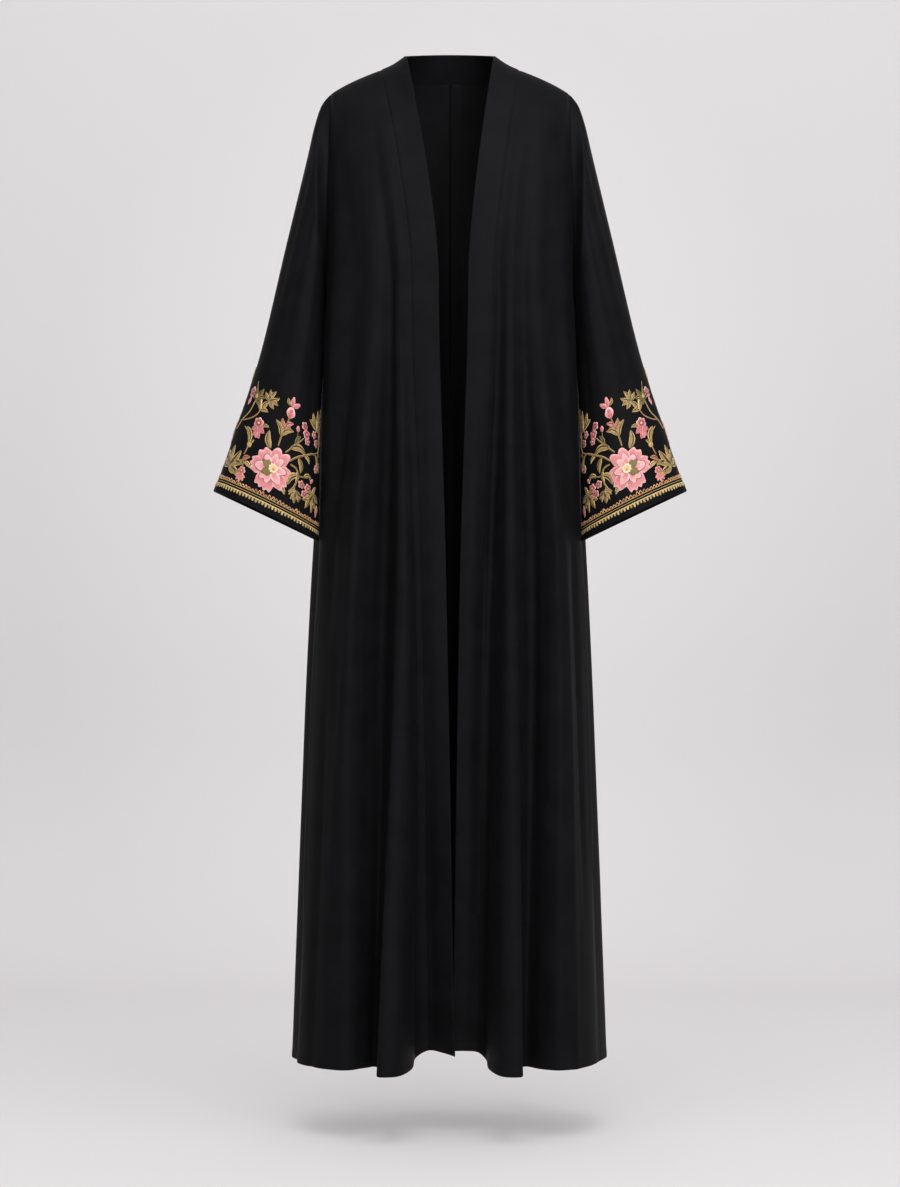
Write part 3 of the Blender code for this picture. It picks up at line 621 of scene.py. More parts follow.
def shell(node, grid, ring, flip, out, edges, proud=0.0, thickness=CLOTH):
    """A closed shell on a grid. edges names what each side is: fold, hem, seam or pressed seam."""
    square = np.clip(np.sum(out * normals_of(grid, ring, flip), axis=2), 0.6, 1.0)
    away = away_from_sides(grid)
    outer = np.full(grid.shape[:2], proud)
    inner = proud - thickness / square
    for side, kind in edges.items():
        distance = away[side]
        if kind == "hem":
            turned = ease((HEM_WIDTH + HEM_STEP / 2 - distance) / HEM_STEP)
            outer += HEM_PROUD * turned
            inner -= 2 * HEM_PROUD * turned
        if kind in ("hem", "fold"):
            half = thickness / 2 + (1.5 * HEM_PROUD if kind == "hem" else 0)
            outer -= fold_round(distance, half)
            inner += fold_round(distance, half) * FOLD_INSIDE
        if kind in ("seam", "pressed seam"):
            outer -= SEAM_DIP * np.exp(-((distance / SEAM_DIP_REACH) ** 2))
        if kind == "pressed seam":
            allowance = ALLOWANCE_PROUD * ease((ALLOWANCE_WIDTH - distance) / ALLOWANCE_STEP)
            inner -= allowance - PRESSED_DIP * np.exp(-((distance / PRESSED_DIP_REACH) ** 2))
    outer = grid + out * outer[:, :, None]
    inner = grid + out * inner[:, :, None]
    rows, cols = grid.shape[:2]
    size = rows * cols
    r, c = np.meshgrid(np.arange(rows - 1), np.arange(cols if ring else cols - 1), indexing="ij")
    a = (r * cols + c).ravel()
    b = (r * cols + (c + 1) % cols).ravel()
    faces = np.stack([a, b, b + cols, a + cols], 1)
    back = np.stack([a, a + cols, b + cols, b], 1) + size
    top = np.arange(cols if ring else cols - 1)
    nxt = (top + 1) % cols
    bottom, bnext = top + (rows - 1) * cols, nxt + (rows - 1) * cols
    sides = [np.stack([top, top + size, nxt + size, nxt], 1),
             np.stack([bottom, bnext, bnext + size, bottom + size], 1)]
    if not ring:
        first = np.arange(rows - 1) * cols
        last = first + cols - 1
        sides.append(np.stack([first, first + cols, first + cols + size, first + size], 1))
        sides.append(np.stack([last, last + size, last + cols + size, last + cols], 1))
    faces = np.vstack([faces, back, *sides])
    if flip:
        faces = faces[:, ::-1]
    piece = mesh_piece(node + "_cloth", np.vstack([outer.reshape(-1, 3), inner.reshape(-1, 3)]), faces)
    piece.data.shade_smooth()
    piece.data.set_sharp_from_angle(angle=SHARP_FROM)
    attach(piece, "root")
    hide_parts(node)
    return piece


def mesh_piece(name, points, faces):
    """An object from arrays of points and of faces."""
    mesh = bpy.data.meshes.new(name)
    mesh.from_pydata(np.asarray(points).tolist(), [], np.asarray(faces).tolist())
    piece = bpy.data.objects.new(name, mesh)
    bpy.context.scene.collection.objects.link(piece)
    return piece


class SleeveCloth:
    """The face of a sleeve near its cuff, measured as cloth: a is the way round from the outer fold,
    towards the front, and h the height above the cuff's edge."""

    def __init__(self, grid, flip, tall=0.20, rows=72):
        out = normals_of(grid, True, flip)
        up = run_of(grid[::-1], 0)
        self.tall, self.rows, self.turned = tall, rows, flip
        heights = np.linspace(0, tall, rows)
        self.points = np.zeros((rows, grid.shape[1] + 1, 3))
        self.out = np.zeros_like(self.points)
        for c in range(grid.shape[1]):
            for k in range(3):
                self.points[:, c, k] = np.interp(heights, up[:, c], grid[::-1, c, k])
                self.out[:, c, k] = np.interp(heights, up[:, c], out[::-1, c, k])
        self.points[:, -1], self.out[:, -1] = self.points[:, 0], self.out[:, 0]
        self.run = run_of(self.points, 1)

    def place(self, flat):
        """Points (a, h, lift) as points of space."""
        a, h, lift = flat[:, 0], np.clip(flat[:, 1], 0, self.tall - 1e-6), flat[:, 2]
        row = h / self.tall * (self.rows - 1)
        low = row.astype(int)
        share = row - low
        found = np.zeros((len(flat), 3))
        for r in np.unique(low):
            here = low == r
            for k, weight in ((r, 1 - share[here]), (r + 1, share[here])):
                whole = self.run[k, -1]
                at = np.mod(a[here], whole)
                for axis in range(3):
                    value = np.interp(at, self.run[k], self.points[k, :, axis])
                    value += lift[here] * np.interp(at, self.run[k], self.out[k, :, axis])
                    found[here, axis] += weight * value
        return found


# Where the embroidery lies. A row of SleeveCloth is 1/71 of 200 mm.
DESIGN_ROW = 20  # the way round a sleeve is measured here for the copy of the design on its back
BORDER_ROW = 4  # and here for the border
BACK_TURN = 0.014  # how far the back's design is turned from half way round
TOOTH_PITCH = 5.2  # of the border, in millimetres
ARCH_PITCH = 5.4
TEETH_TOP = 13.6
ARCH_FOOT = 21.4
LINE_STEPS = 120
# Across a veined leaf, from side to side: 1 where it has the rim's colour and 0 where it has the inner one
VEIN_PLACES = (-1, -0.72, -0.58, -0.16, -0.04, 0.10, 0.22, 0.34, 0.72, 0.80, 1)
VEIN_SHARES = (1, 1, 0, 0, 1, 1, 0, 0.45, 0.55, 1, 1)

# Threads
DEEP_PINK = (0.54, 0.135, 0.15)
PINK = (0.74, 0.26, 0.27)
PALE_PINK = (0.90, 0.52, 0.49)
PEACH = (0.90, 0.50, 0.24)
PALE_ROSE = (0.88, 0.44, 0.42)
CREAM = (0.95, 0.78, 0.50)
OLIVE = (0.055, 0.042, 0.012)
MOSS = (0.200, 0.150, 0.034)
GOLD = (0.53, 0.345, 0.115)
PALE_GOLD = (0.70, 0.50, 0.20)
COPPER = (0.56, 0.235, 0.115)
RUST = (0.23, 0.075, 0.035)
BROWN = (0.15, 0.075, 0.025)
WINE = (0.20, 0.030, 0.045)
SHELL = (0.93, 0.62, 0.58)


class Embroidery:
    """Satin stitch patches on cloth, gathered as one mesh."""

    def __init__(self):
        self.flat, self.faces, self.colours, self.stitch = [], [], [], []
        self.count = 0
        self.rng = np.random.default_rng(5)

    def patch(self, flat, colours, stitch):
        """A patch of cloth covered by stitches: arrays of rows and columns."""
        rows, cols = flat.shape[:2]
        r, c = np.meshgrid(np.arange(rows - 1), np.arange(cols - 1), indexing="ij")
        a = (r * cols + c).ravel() + self.count
        self.faces.append(np.stack([a, a + 1, a + cols + 1, a + cols], 1))
        self.flat.append(flat.reshape(-1, 3))
        self.colours.append(np.broadcast_to(colours, flat.shape).reshape(-1, 3))
        self.stitch.append(stitch.reshape(-1, 2))
        self.count += rows * cols

    def blade(self, path, width, height, base, inner, rim, rows=9, cols=7, pointed=0.7, slant=0.6, vein=0.0):
        """A domed strip along a path of (a, h) in millimetres. inner and rim are its colours."""
        path = np.array(path, float) / 1000
        if len(path) > 2:
            path = curve_at(path, np.linspace(0, len(path) - 1, rows))
        else:
            path = path[0] + (path[-1] - path[0]) * np.linspace(0, 1, rows)[:, None]
        run = np.concatenate([[0], np.cumsum(np.linalg.norm(np.diff(path, axis=0), axis=1))])
        ahead = np.gradient(path, axis=0)
        ahead /= np.linalg.norm(ahead, axis=1)[:, None]
        across = np.stack([ahead[:, 1], -ahead[:, 0]], 1)
        t = run / run[-1]
        shape = np.sin(math.pi * np.clip(0.04 + 0.94 * t**0.85, 0, 1)) ** pointed
        v = np.linspace(-1, 1, cols)
        half = width / 2000 * shape
        flat = np.zeros((rows, cols, 3))
        flat[:, :, :2] = path[:, None, :] + across[:, None, :] * (half[:, None] * v[None, :])[:, :, None]
        dome = np.sqrt(np.clip(1 - v**2, 0, 1))[None, :] * np.minimum(1, shape * 1.6)[:, None]
        dome = dome * (1 - vein * np.exp(-((v / 0.22) ** 2)))[None, :]
        flat[:, :, 2] = (base + height * dome) / 1000
        if vein:
            share = np.interp(v, VEIN_PLACES, VEIN_SHARES)
        else:
            share = ease((np.abs(v) - 0.20) / 0.50)
        mix = share[None, :, None] * np.ones((rows, 1, 1))
        colours = np.array(inner) * (1 - mix) + np.array(rim) * mix
        colours = colours * (1 + self.rng.uniform(-0.26, 0.26, (rows, cols, 1)))
        stitch = np.zeros((rows, cols, 2))
        outwards = np.abs(half[:, None] * v[None, :]) * 1000 * (1 - slant)
        stitch[:, :, 0] = run[:, None] * 1000 * slant + outwards
        stitch[:, :, 1] = v[None, :]
        self.patch(flat, colours, stitch)

    def stem(self, path, width=1.7, colour=BROWN, rim=GOLD):
        """Two rows of stem stitch, with a darker one between."""
        length = sum(math.dist(p, q) for p, q in zip(path, path[1:]))
        rows = max(6, int(length / 2.2))
        self.blade(path, width * 1.25, 0.75, 0.25, colour, rim, rows, pointed=0.18, slant=0.8)

    def leaf(self, a, h, angle, length, width, inner=OLIVE, rim=GOLD, bend=0.12, base=0.3):
        """A leaf from its foot, with a dark vein. angle is in degrees, 0 along the cuff and 90 up."""
        x, y = math.cos(math.radians(angle)), math.sin(math.radians(angle))
        middle = (a + x * length / 2 - y * length * bend, h + y * length / 2 + x * length * bend)
        tip = (a + x * length, h + y * length)
        self.blade([(a, h), middle, tip], width, 0.8, base, np.array(inner) * 0.62, np.array(rim) * 1.18,
                   rows=12, cols=15, pointed=0.8, slant=0.55, vein=0.75)

    def fan(self, a, h, angle, spread, count, length, width, inner=OLIVE, rim=GOLD):
        """Leaves or petals spread from one foot."""
        for k in range(count):
            turn = angle + spread * (k / (count - 1) - 0.5)
            size = length * (1 - 0.28 * abs(2 * k / (count - 1) - 1))
            self.leaf(a, h, turn, size, width, inner, rim, 0.06 * (k % 2 * 2 - 1), 0.3 + 0.12 * (k % 3))

    def petal(self, a, h, angle, length, width, base=0.4, foot=DEEP_PINK, tip=PINK, lobes=1, edge=PALE_ROSE,
              height=0.9, rows=9, cols=13):
        """A petal from its foot outwards, with a rounded or lobed end and an outline in its own colour."""
        t = np.linspace(0, 1, rows)[:, None]
        v = np.linspace(-1, 1, cols)[None, :]
        end = 1 - 0.44 * np.abs(v) ** 2.4
        if lobes > 1:
            end = 1 - 0.26 * np.abs(v) ** 3 - 0.11 * (1 + np.cos(math.pi * lobes * (v + 1))) / 2
        along_ = t * length * end
        side = width / 2 * v * (0.24 + 0.76 * np.sin(math.pi / 2 * np.minimum(1, t * 1.2)))
        x, y = math.cos(math.radians(angle)), math.sin(math.radians(angle))
        flat = np.zeros((rows, cols, 3))
        flat[:, :, 0] = a + x * along_ + y * side
        flat[:, :, 1] = h + y * along_ - x * side
        dome = np.clip(1 - v**4, 0, 1) ** 0.5 * np.clip(1 - t**8, 0, 1) ** 0.5
        flat[:, :, 2] = base + height * dome * (0.75 + 0.25 * t)
        flat /= 1000
        shade = ease((t - 0.30) / 0.55)[:, :, None] * np.ones((1, cols, 1))
        colours = np.array(foot) * (1 - shade) + np.array(tip) * shade
        streak = 0.16 * np.cos(9 * math.pi * v) * (1 - t)
        colours = colours * (1 + streak + self.rng.uniform(-0.09, 0.09, (rows, cols)))[:, :, None]
        rim = ease((np.abs(v) - 0.74) / 0.14) * np.ones_like(t)
        rim = np.maximum(rim, ease((t - 0.86) / 0.08))[:, :, None]
        colours = colours * (1 - rim) + np.array(edge) * rim
        stitch = np.stack([side + 0 * t, along_ * np.ones_like(v)], 2)
        self.patch(flat, colours, stitch)

    def ray(self, a, h, angle, out, *petal):
        """A petal whose foot stands a distance out from a flower's middle."""
        turned = math.radians(angle)
        self.petal(a + out * math.cos(turned), h + out * math.sin(turned), angle, *petal)

    def blossom(self, a, h, radius, count=5, turn=20, foot=WINE, heart=PEACH):
        """A small flower seen from above."""
        for k in range(count):
            self.petal(a, h, turn + 360 * k / count, radius, radius * 0.92, 0.3 + 0.1 * (k % 2), foot, PINK,
                       edge=SHELL, height=0.75, rows=8, cols=9)
        self.dot(a, h, radius * 0.24, 0.3 + 0.75, heart)

    def dot(self, a, h, radius, base, colour, height=0.6):
        """A raised round of stitches."""
        t = np.linspace(0, 1, 5)[:, None]
        angle = np.linspace(2 * math.pi, 0, 11)[None, :]
        flat = np.stack([a + radius * t * np.cos(angle), h + radius * t * np.sin(angle),
                         base + height * np.sqrt(1 - t**2) + 0 * angle], 2) / 1000
        stitch = np.stack([radius * t * np.cos(angle), radius * t * np.sin(angle)], 2)
        self.patch(flat, np.array(colour), stitch)

    def flower(self, a, h, radius, turn):
        """The large flower: broad lobed petals, pale ones on them, two pairs of leaves and a peach heart."""
        broad = ((6, 0.95, 0.66, 3), (133, 0.92, 0.72, 2), (186, 1.00, 0.74, 3), (247, 0.99, 0.56, 2),
                 (276, 1.01, 0.54, 2), (326, 0.97, 0.68, 2), (56, 1.10, 0.50, 1), (84, 1.00, 0.54, 1))
        pale = ((12, 0.70, 0.34), (56, 0.72, 0.30), (84, 0.76, 0.30), (127, 0.62, 0.36), (187, 0.74, 0.42),
                (238, 0.66, 0.32), (266, 0.66, 0.30), (320, 0.70, 0.40))
        for k, (angle, size, wide, lobes) in enumerate(broad):
            self.ray(a, h, turn + angle, radius * 0.12, radius * (size - 0.12), radius * wide,
                     0.35 + 0.12 * k, DEEP_PINK, PINK, lobes, PALE_ROSE, 0.9, 14, 25)
        for k, (angle, size, wide) in enumerate(pale):
            self.ray(a, h, turn + angle, radius * 0.10, radius * (size - 0.08), radius * (wide + 0.05),
                     1.55 + 0.1 * (k % 2), WINE, WINE, 1, WINE, 0.3, 8, 11)
            self.ray(a, h, turn + angle, radius * 0.12, radius * (size - 0.13), radius * wide,
                     1.75 + 0.1 * (k % 2), PINK, PALE_ROSE, 1, SHELL, 0.7, 10, 13)
        for angle, size in ((150, 0.46), (122, 0.36), (228, 0.44), (256, 0.36)):
            self.petal(a - radius * 0.04, h, turn + angle, radius * size, radius * 0.26, 2.6, MOSS, MOSS,
                       edge=BROWN, height=0.5)
        for k in range(9):
            x = 0.10 + 0.16 * math.cos(math.radians(40 * k + 10))
            y = 0.07 + 0.16 * math.sin(math.radians(40 * k + 10))
            self.dot(a + radius * x, h + radius * y, radius * 0.055, 3.1, CREAM, 0.5)
        self.dot(a + radius * 0.10, h + radius * 0.07, radius * 0.19, 2.9, PEACH, 0.5)
        self.dot(a + radius * 0.12, h + radius * 0.03, radius * 0.05, 3.3, COPPER, 0.5)

    def finish(self, name, cloth, shift):
        """The piece, laid on its sleeve. shift turns the design round the sleeve."""
        flat = np.vstack(self.flat) + [shift, 0, 0]
        faces = np.vstack(self.faces)
        piece = mesh_piece(name, cloth.place(flat), faces if cloth.turned else faces[:, ::-1])
        mesh = piece.data
        thread = mesh.color_attributes.new("Thread", "FLOAT_COLOR", "POINT")
        colours = np.hstack([np.vstack(self.colours), np.ones((self.count, 1))])
        thread.data.foreach_set("color", colours.astype(np.float32).ravel())
        corners = np.zeros(len(mesh.loops), np.int32)
        mesh.loops.foreach_get("vertex_index", corners)
        stitch = mesh.uv_layers.new(name="Stitch")
        stitch.data.foreach_set("uv", np.vstack(self.stitch)[corners].astype(np.float32).ravel())
        mesh.shade_smooth()
        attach(piece, "root")
        return piece


def sew_design(work):
    """One repeat of the cuff's design, about 228 mm wide, in millimetres from the outer fold and the edge."""
    # the large flower and its leaves
    work.leaf(95, 89, 112, 25, 9.5)
    work.leaf(124, 46, -38, 14, 6.5, OLIVE, PALE_GOLD)
    work.stem([(105, 97), (105, 112), (107, 128), (108, 143)], 2.0)
    work.leaf(105, 112, 128, 24, 8, bend=-0.15)
    work.leaf(105, 114, 42, 21, 7.5, bend=0.16)
    work.leaf(107, 126, 128, 14, 7, RUST, COPPER)
    work.leaf(107, 128, 46, 14, 7, RUST, PINK)
    work.leaf(104, 122, 20, 15, 5, RUST, COPPER, 0.3)
    work.flower(105, 62, 33.5, 0)
    # the bud above it
    work.petal(108, 142, 90, 17, 13.5, 0.4, DEEP_PINK, PALE_PINK)
    work.dot(108, 153, 2.6, 1.2, DEEP_PINK, 0.5)
    work.leaf(105, 160, 128, 11, 5.5)
    work.petal(107, 159, 92, 15, 6.5)
    work.petal(109, 159, 48, 14, 6.5)
    # upper right: a branch with blossoms and a leaf head
    work.stem([(118, 94), (125, 105), (133, 118), (139, 128)], 1.9)
    work.leaf(123, 104, 8, 29, 10, bend=0.18)
    work.stem([(124, 106), (129, 117), (127, 132)], 1.5, OLIVE, MOSS)
    work.leaf(129, 113, 74, 16, 6, OLIVE, MOSS, 0.1)
    work.petal(127, 131, 105, 9, 6)
    work.blossom(143, 137, 7.6, 5, 40)
    work.blossom(136, 146, 6.6, 5, 12, heart=COPPER)
    work.blossom(159, 145, 6.2, 5, 64)
    work.blossom(148, 128, 5.4, 5, 30, RUST)
    work.blossom(168, 135, 6.4, 5, 8, heart=COPPER)
    work.stem([(158, 145), (164, 155), (161, 166)], 1.7)
    work.fan(163, 154, 96, 128, 5, 30, 9.5)
    work.leaf(164, 154, 96, 17, 7, OLIVE, PALE_GOLD, 0, 0.9)
    # right: the long scroll
    work.stem([(128, 86), (137, 97), (150, 107), (165, 117), (177, 116), (186, 110)], 2.3)
    work.leaf(140, 97, -62, 21, 8, bend=0.14)
    work.leaf(150, 106, -30, 13, 5.5, OLIVE, PALE_GOLD, 0.2)
    work.stem([(165, 117), (182, 128), (181, 140)], 1.6)
    work.fan(182, 136, 88, 90, 3, 17, 6.5)
    work.stem([(172, 117), (177, 112), (179, 105)], 1.6)
    work.blossom(180, 99, 6.6, 6, 15, RUST)
    work.fan(186, 110, -70, 96, 3, 15, 6)
    work.leaf(176, 116, 20, 16, 6, COPPER, OLIVE)
    work.blossom(179, 149, 6.0, 5, 45)
    work.fan(180, 172, 96, 110, 4, 22, 7.5)
    work.stem([(180, 174), (180, 161), (181, 140), (180, 119)], 1.6)
    # lower right: the curling leaf, sprig and blossoms
    work.stem([(130, 82), (141, 81), (147, 71), (145, 54), (139, 44)], 2.2)
    work.leaf(146, 74, -118, 24, 9.5, bend=-0.2)
    work.leaf(144, 79, -84, 17, 5.5, OLIVE, PALE_GOLD, 0.1)
    work.stem([(145, 57), (150, 48), (153, 44)], 1.5)
    work.fan(150, 51, -82, 100, 5, 19, 7)
    work.stem([(147, 72), (157, 76), (167, 80), (172, 75)], 1.6)
    work.leaf(157, 76, 18, 16, 6.5, bend=0.2)
    work.blossom(156, 64, 6.2, 5, 20, RUST, COPPER)
    work.blossom(169, 64, 7.0, 5, 50)
    work.blossom(165, 53, 6.0, 5, 5, heart=COPPER)
    work.petal(172, 73, 70, 9, 5, 0.4, COPPER, PINK)
    work.fan(182, 59, -96, 150, 6, 28, 9)
    work.leaf(183, 56, 78, 18, 8)
    work.petal(198, 47, -84, 17, 6, 0.4, COPPER, DEEP_PINK)
    work.petal(198, 48, -58, 12, 5, 0.4, COPPER, DEEP_PINK)
    # upper left: the branches from the fold
    work.stem([(20, 96), (30, 111), (42, 125), (48, 147)], 1.8)
    work.stem([(27, 110), (45, 115), (57, 124), (62, 134)], 1.6, RUST, GOLD)
    work.stem([(47, 147), (44, 160), (41, 171)], 1.5, OLIVE, MOSS)
    work.fan(47, 145, 62, 150, 5, 21, 8, OLIVE, MOSS)
    work.dot(48, 150, 3.4, 0.9, GOLD)
    work.leaf(62, 132, 104, 26, 7, RUST, PALE_GOLD, 0.08)
    work.leaf(64, 136, 60, 15, 7.5)
    work.leaf(62, 133, 10, 13, 6)
    work.stem([(64, 140), (69, 149), (73, 154)], 1.5)
    work.fan(71, 151, 50, 175, 6, 19, 6.5)
    work.blossom(36, 154, 8.4, 5, 18, heart=COPPER)
    work.petal(35, 147, -100, 13, 6, 0.35, DEEP_PINK, PINK)
    work.stem([(43, 103), (54, 98), (61, 107), (65, 110)], 1.4)
    work.fan(67, 107, -60, 190, 5, 15, 8, PINK, DEEP_PINK)
    work.blossom(66, 115, 8.4, 6, 30)
    work.petal(65, 108, -74, 15, 7.5, 0.45, DEEP_PINK, PINK)
    work.leaf(72, 113, 12, 12, 5)
    work.leaf(48, 104, -62, 27, 8.5, bend=0.16)
    work.dot(62, 81, 4.2, 0.5, GOLD, 0.9)
    work.leaf(64, 83, 60, 8, 4)
    work.stem([(61, 80), (60, 73), (58, 65)], 1.5)
    # left: the leaf head and the copper sprig beside the flower
    work.fan(35, 42, 74, 168, 6, 33, 12)
    work.fan(39, 46, 12, 90, 3, 22, 8)
    work.leaf(42, 41, -34, 17, 7)
    work.stem([(49, 51), (56, 56), (63, 55)], 1.5)
    work.leaf(58, 57, 32, 14, 6.5, RUST, COPPER)
    work.leaf(62, 55, -20, 15, 6.5, RUST, PALE_GOLD)
    work.stem([(61, 55), (62, 47), (63, 43)], 1.4)
    work.blossom(63, 42, 6.4, 6, 0, RUST)
    for turn, size in ((-150, 10), (-118, 11), (-84, 12), (-52, 11), (-22, 9)):
        work.petal(63, 37, turn, size, 4.8, 0.4, COPPER, PINK)


def sew_fold_flower(work):
    """The second flower, which shows only past the outer fold."""
    work.flower(-15, 96, 27, 20)
    work.stem([(4, 84), (9, 86), (13, 92)], 2.0, BROWN, COPPER)
    work.leaf(-8, 120, 60, 16, 8)
    work.stem([(-34, 70), (-30, 58), (-20, 50), (-6, 48)], 2.0)
    work.fan(-34, 66, -110, 110, 4, 24, 9)
    work.blossom(-14, 46, 7, 5, 20)
    work.blossom(-3, 38, 6, 5, 50, RUST)


def sew_border(work, around):
    """The stripes above the cuff's edge: a toothed gold row, a thin gold line and a copper scallop row."""
    rng = np.random.default_rng(11)
    teeth = int(around * 1000 / TOOTH_PITCH)
    pitch = around * 1000 / teeth
    for k in range(teeth):
        a = k * pitch
        tall = 4.4 + rng.uniform(-0.5, 0.9)
        tone = np.array(PALE_GOLD) * rng.uniform(0.7, 1.2)
        work.blade([(a, TEETH_TOP), (a + 0.6, 13.2 - tall)], pitch * 0.70, 0.75, 0.3, tone, tone * 0.6,
                   rows=5, cols=5, pointed=0.2, slant=0.0)
    arches = int(around * 1000 / ARCH_PITCH)
    pitch = around * 1000 / arches
    for k in range(arches):
        a = k * pitch
        top = 25.0 + rng.uniform(-0.9, 2.2)
        gilt = rng.uniform(0, 0.45)
        tone = (np.array(COPPER) * (1 - gilt) + np.array(PALE_GOLD) * gilt) * rng.uniform(0.85, 1.35)
        crown = (a + pitch * rng.uniform(0.35, 0.6), top)
        work.blade([(a, ARCH_FOOT), crown, (a + pitch * 0.98, ARCH_FOOT)], 1.5, 0.65, 0.3, tone, tone * 0.8,
                   cols=5, pointed=0.2, slant=0.5)
    for h, width, tone in ((TEETH_TOP, 1.8, PALE_GOLD), (17.4, 0.7, PALE_GOLD), (21.0, 1.2, GOLD)):
        path = [(k * around * 1000 / LINE_STEPS, h) for k in range(LINE_STEPS + 1)]
        work.blade(path, width, 0.6, 0.3, np.array(tone) * 1.1, np.array(tone) * 0.8,
                   rows=360, cols=5, pointed=0.02, slant=0.9)


# Materials and studio
BAND_SHADE = 1.06  # the doubled band is a little less black
FLOOR_Z = -1.535
WALL_Y = 2.0
WALL_TOP_Z = 3.4
BEND = 0.60  # radius of the sweep between floor and wall
SWEEP_HALF = 5.0
SWEEP_FRONT_Y = -5.5
AIR = (1.0, 0.985, 0.99, 1)
AIR_STRENGTH = 0.38
EYE = (0, -4.2, -0.7586)
LENS = 87.07
# Area lights: name, place, the point it shines at, size and power
LIGHTS = (
    ("top_light", (0.2, -1.2, 2.8), (0, 0, -0.8), (2.4, 2.4), 40),
    ("left_light", (-2.8, -2.2, 0.3), (0, 0, -0.7), (1.2, 2.4), 1),
    ("right_light", (2.8, -2.2, 0.3), (0, 0, -0.7), (1.2, 2.4), 1),
    ("front_light", (0.9, -4.9, 1.7), (0, 0, -0.5), (4.0, 3.0), 225),
    ("paper_light", (0.4, -3.6, 2.0), (0.3, 1.2, -0.7), (4.0, 3.0), 150),
    ("shoulder_light", (0.9, -1.7, 1.2), (0, 0, -0.15), (0.8, 0.8), 17),
)
# Two lights leave the paper out, so that they don't wash out its soft shadow, and one lights only the paper.
PAPER_LINKS = (("front_light", "EXCLUDE"), ("shoulder_light", "EXCLUDE"), ("paper_light", "INCLUDE"))


def nodes_of(name):
    """A new material, its tree and its shader."""
    material = bpy.data.materials.new(name)
    material.use_nodes = True
    tree = material.node_tree
    return material, tree, tree.nodes["Principled BSDF"]


def set_sockets(target, **sockets):
    """Sets a node's inputs by name, with _ for a space."""
    for key, value in sockets.items():
        target.inputs[key.replace("_", " ")].default_value = value


def node(tree, kind, **sockets):
    """A new node with some of its inputs set."""
    made = tree.nodes.new(kind)
    set_sockets(made, **sockets)
    return made


def link(tree, source, output, target, socket):
    """Joins one node's output to another's input."""
    tree.links.new(source.outputs[output], target.inputs[socket])


def crepe_material(name, shade=1.0):
    """Matt black crepe: a fine pebbled weave, a soft sheen and faint differences of tone."""
    material, tree, shader = nodes_of(name)
    where = node(tree, "ShaderNodeTexCoord")
    pebble = node(tree, "ShaderNodeTexNoise", Scale=1500.0, Detail=2.0, Roughness=0.6)
    slub = node(tree, "ShaderNodeTexNoise", Scale=26.0, Detail=4.0, Roughness=0.55)
    for texture in (pebble, slub):
        link(tree, where, "Object", texture, "Vector")
    tone = node(tree, "ShaderNodeValToRGB")
    for stop, position, grey in zip(tone.color_ramp.elements, (0.3, 0.7), (0.0043 * shade, 0.0062 * shade)):
        stop.position = position
        stop.color = (grey, grey * 1.02, grey * 1.16, 1)
    link(tree, slub, "Fac", tone, "Fac")
    link(tree, tone, "Color", shader, "Base Color")
    rough = node(tree, "ShaderNodeMapRange", To_Min=0.50, To_Max=0.62)
    link(tree, slub, "Fac", rough, "Value")
    link(tree, rough, "Result", shader, "Roughness")
    bump = node(tree, "ShaderNodeBump", Strength=0.22, Distance=0.0002)
    link(tree, pebble, "Fac", bump, "Height")
    link(tree, bump, "Normal", shader, "Normal")
    set_sockets(shader, Specular_IOR_Level=0.03, Sheen_Weight=0.005, Sheen_Roughness=0.45,
                Sheen_Tint=(0.85, 0.86, 0.9, 1))
    return material


def thread_material():
    """Shiny embroidery thread: its colour from the patches, with painted shade and highlight in bands along
    the stitches, and its ridges from the stitches' own direction.
    """
    material, tree, shader = nodes_of("embroidery_thread")
    colour = node(tree, "ShaderNodeVertexColor")
    colour.layer_name = "Thread"
    uv = node(tree, "ShaderNodeUVMap")
    uv.uv_map = "Stitch"
    wave = node(tree, "ShaderNodeTexWave", Scale=0.27, Distortion=2.6, Detail=2.0)
    wave.wave_type = "BANDS"
    link(tree, uv, "UV", wave, "Vector")
    # Painted shade and highlight: the bands that raise the stitches' ridges also darken the thread's colour
    # in their grooves and lighten it on their crests.
    tone = node(tree, "ShaderNodeMapRange", To_Min=0.40, To_Max=1.26)
    link(tree, wave, "Fac", tone, "Value")
    mix = node(tree, "ShaderNodeMixRGB", Fac=1.0)
    mix.blend_type = "MULTIPLY"
    link(tree, colour, "Color", mix, 1)
    link(tree, tone, "Result", mix, 2)
    link(tree, mix, "Color", shader, "Base Color")
    bump = node(tree, "ShaderNodeBump", Strength=0.5, Distance=0.0003)
    link(tree, wave, "Fac", bump, "Height")
    link(tree, bump, "Normal", shader, "Normal")
    set_sockets(shader, Roughness=0.42, Specular_IOR_Level=0.4, Sheen_Weight=0.15)
    return material


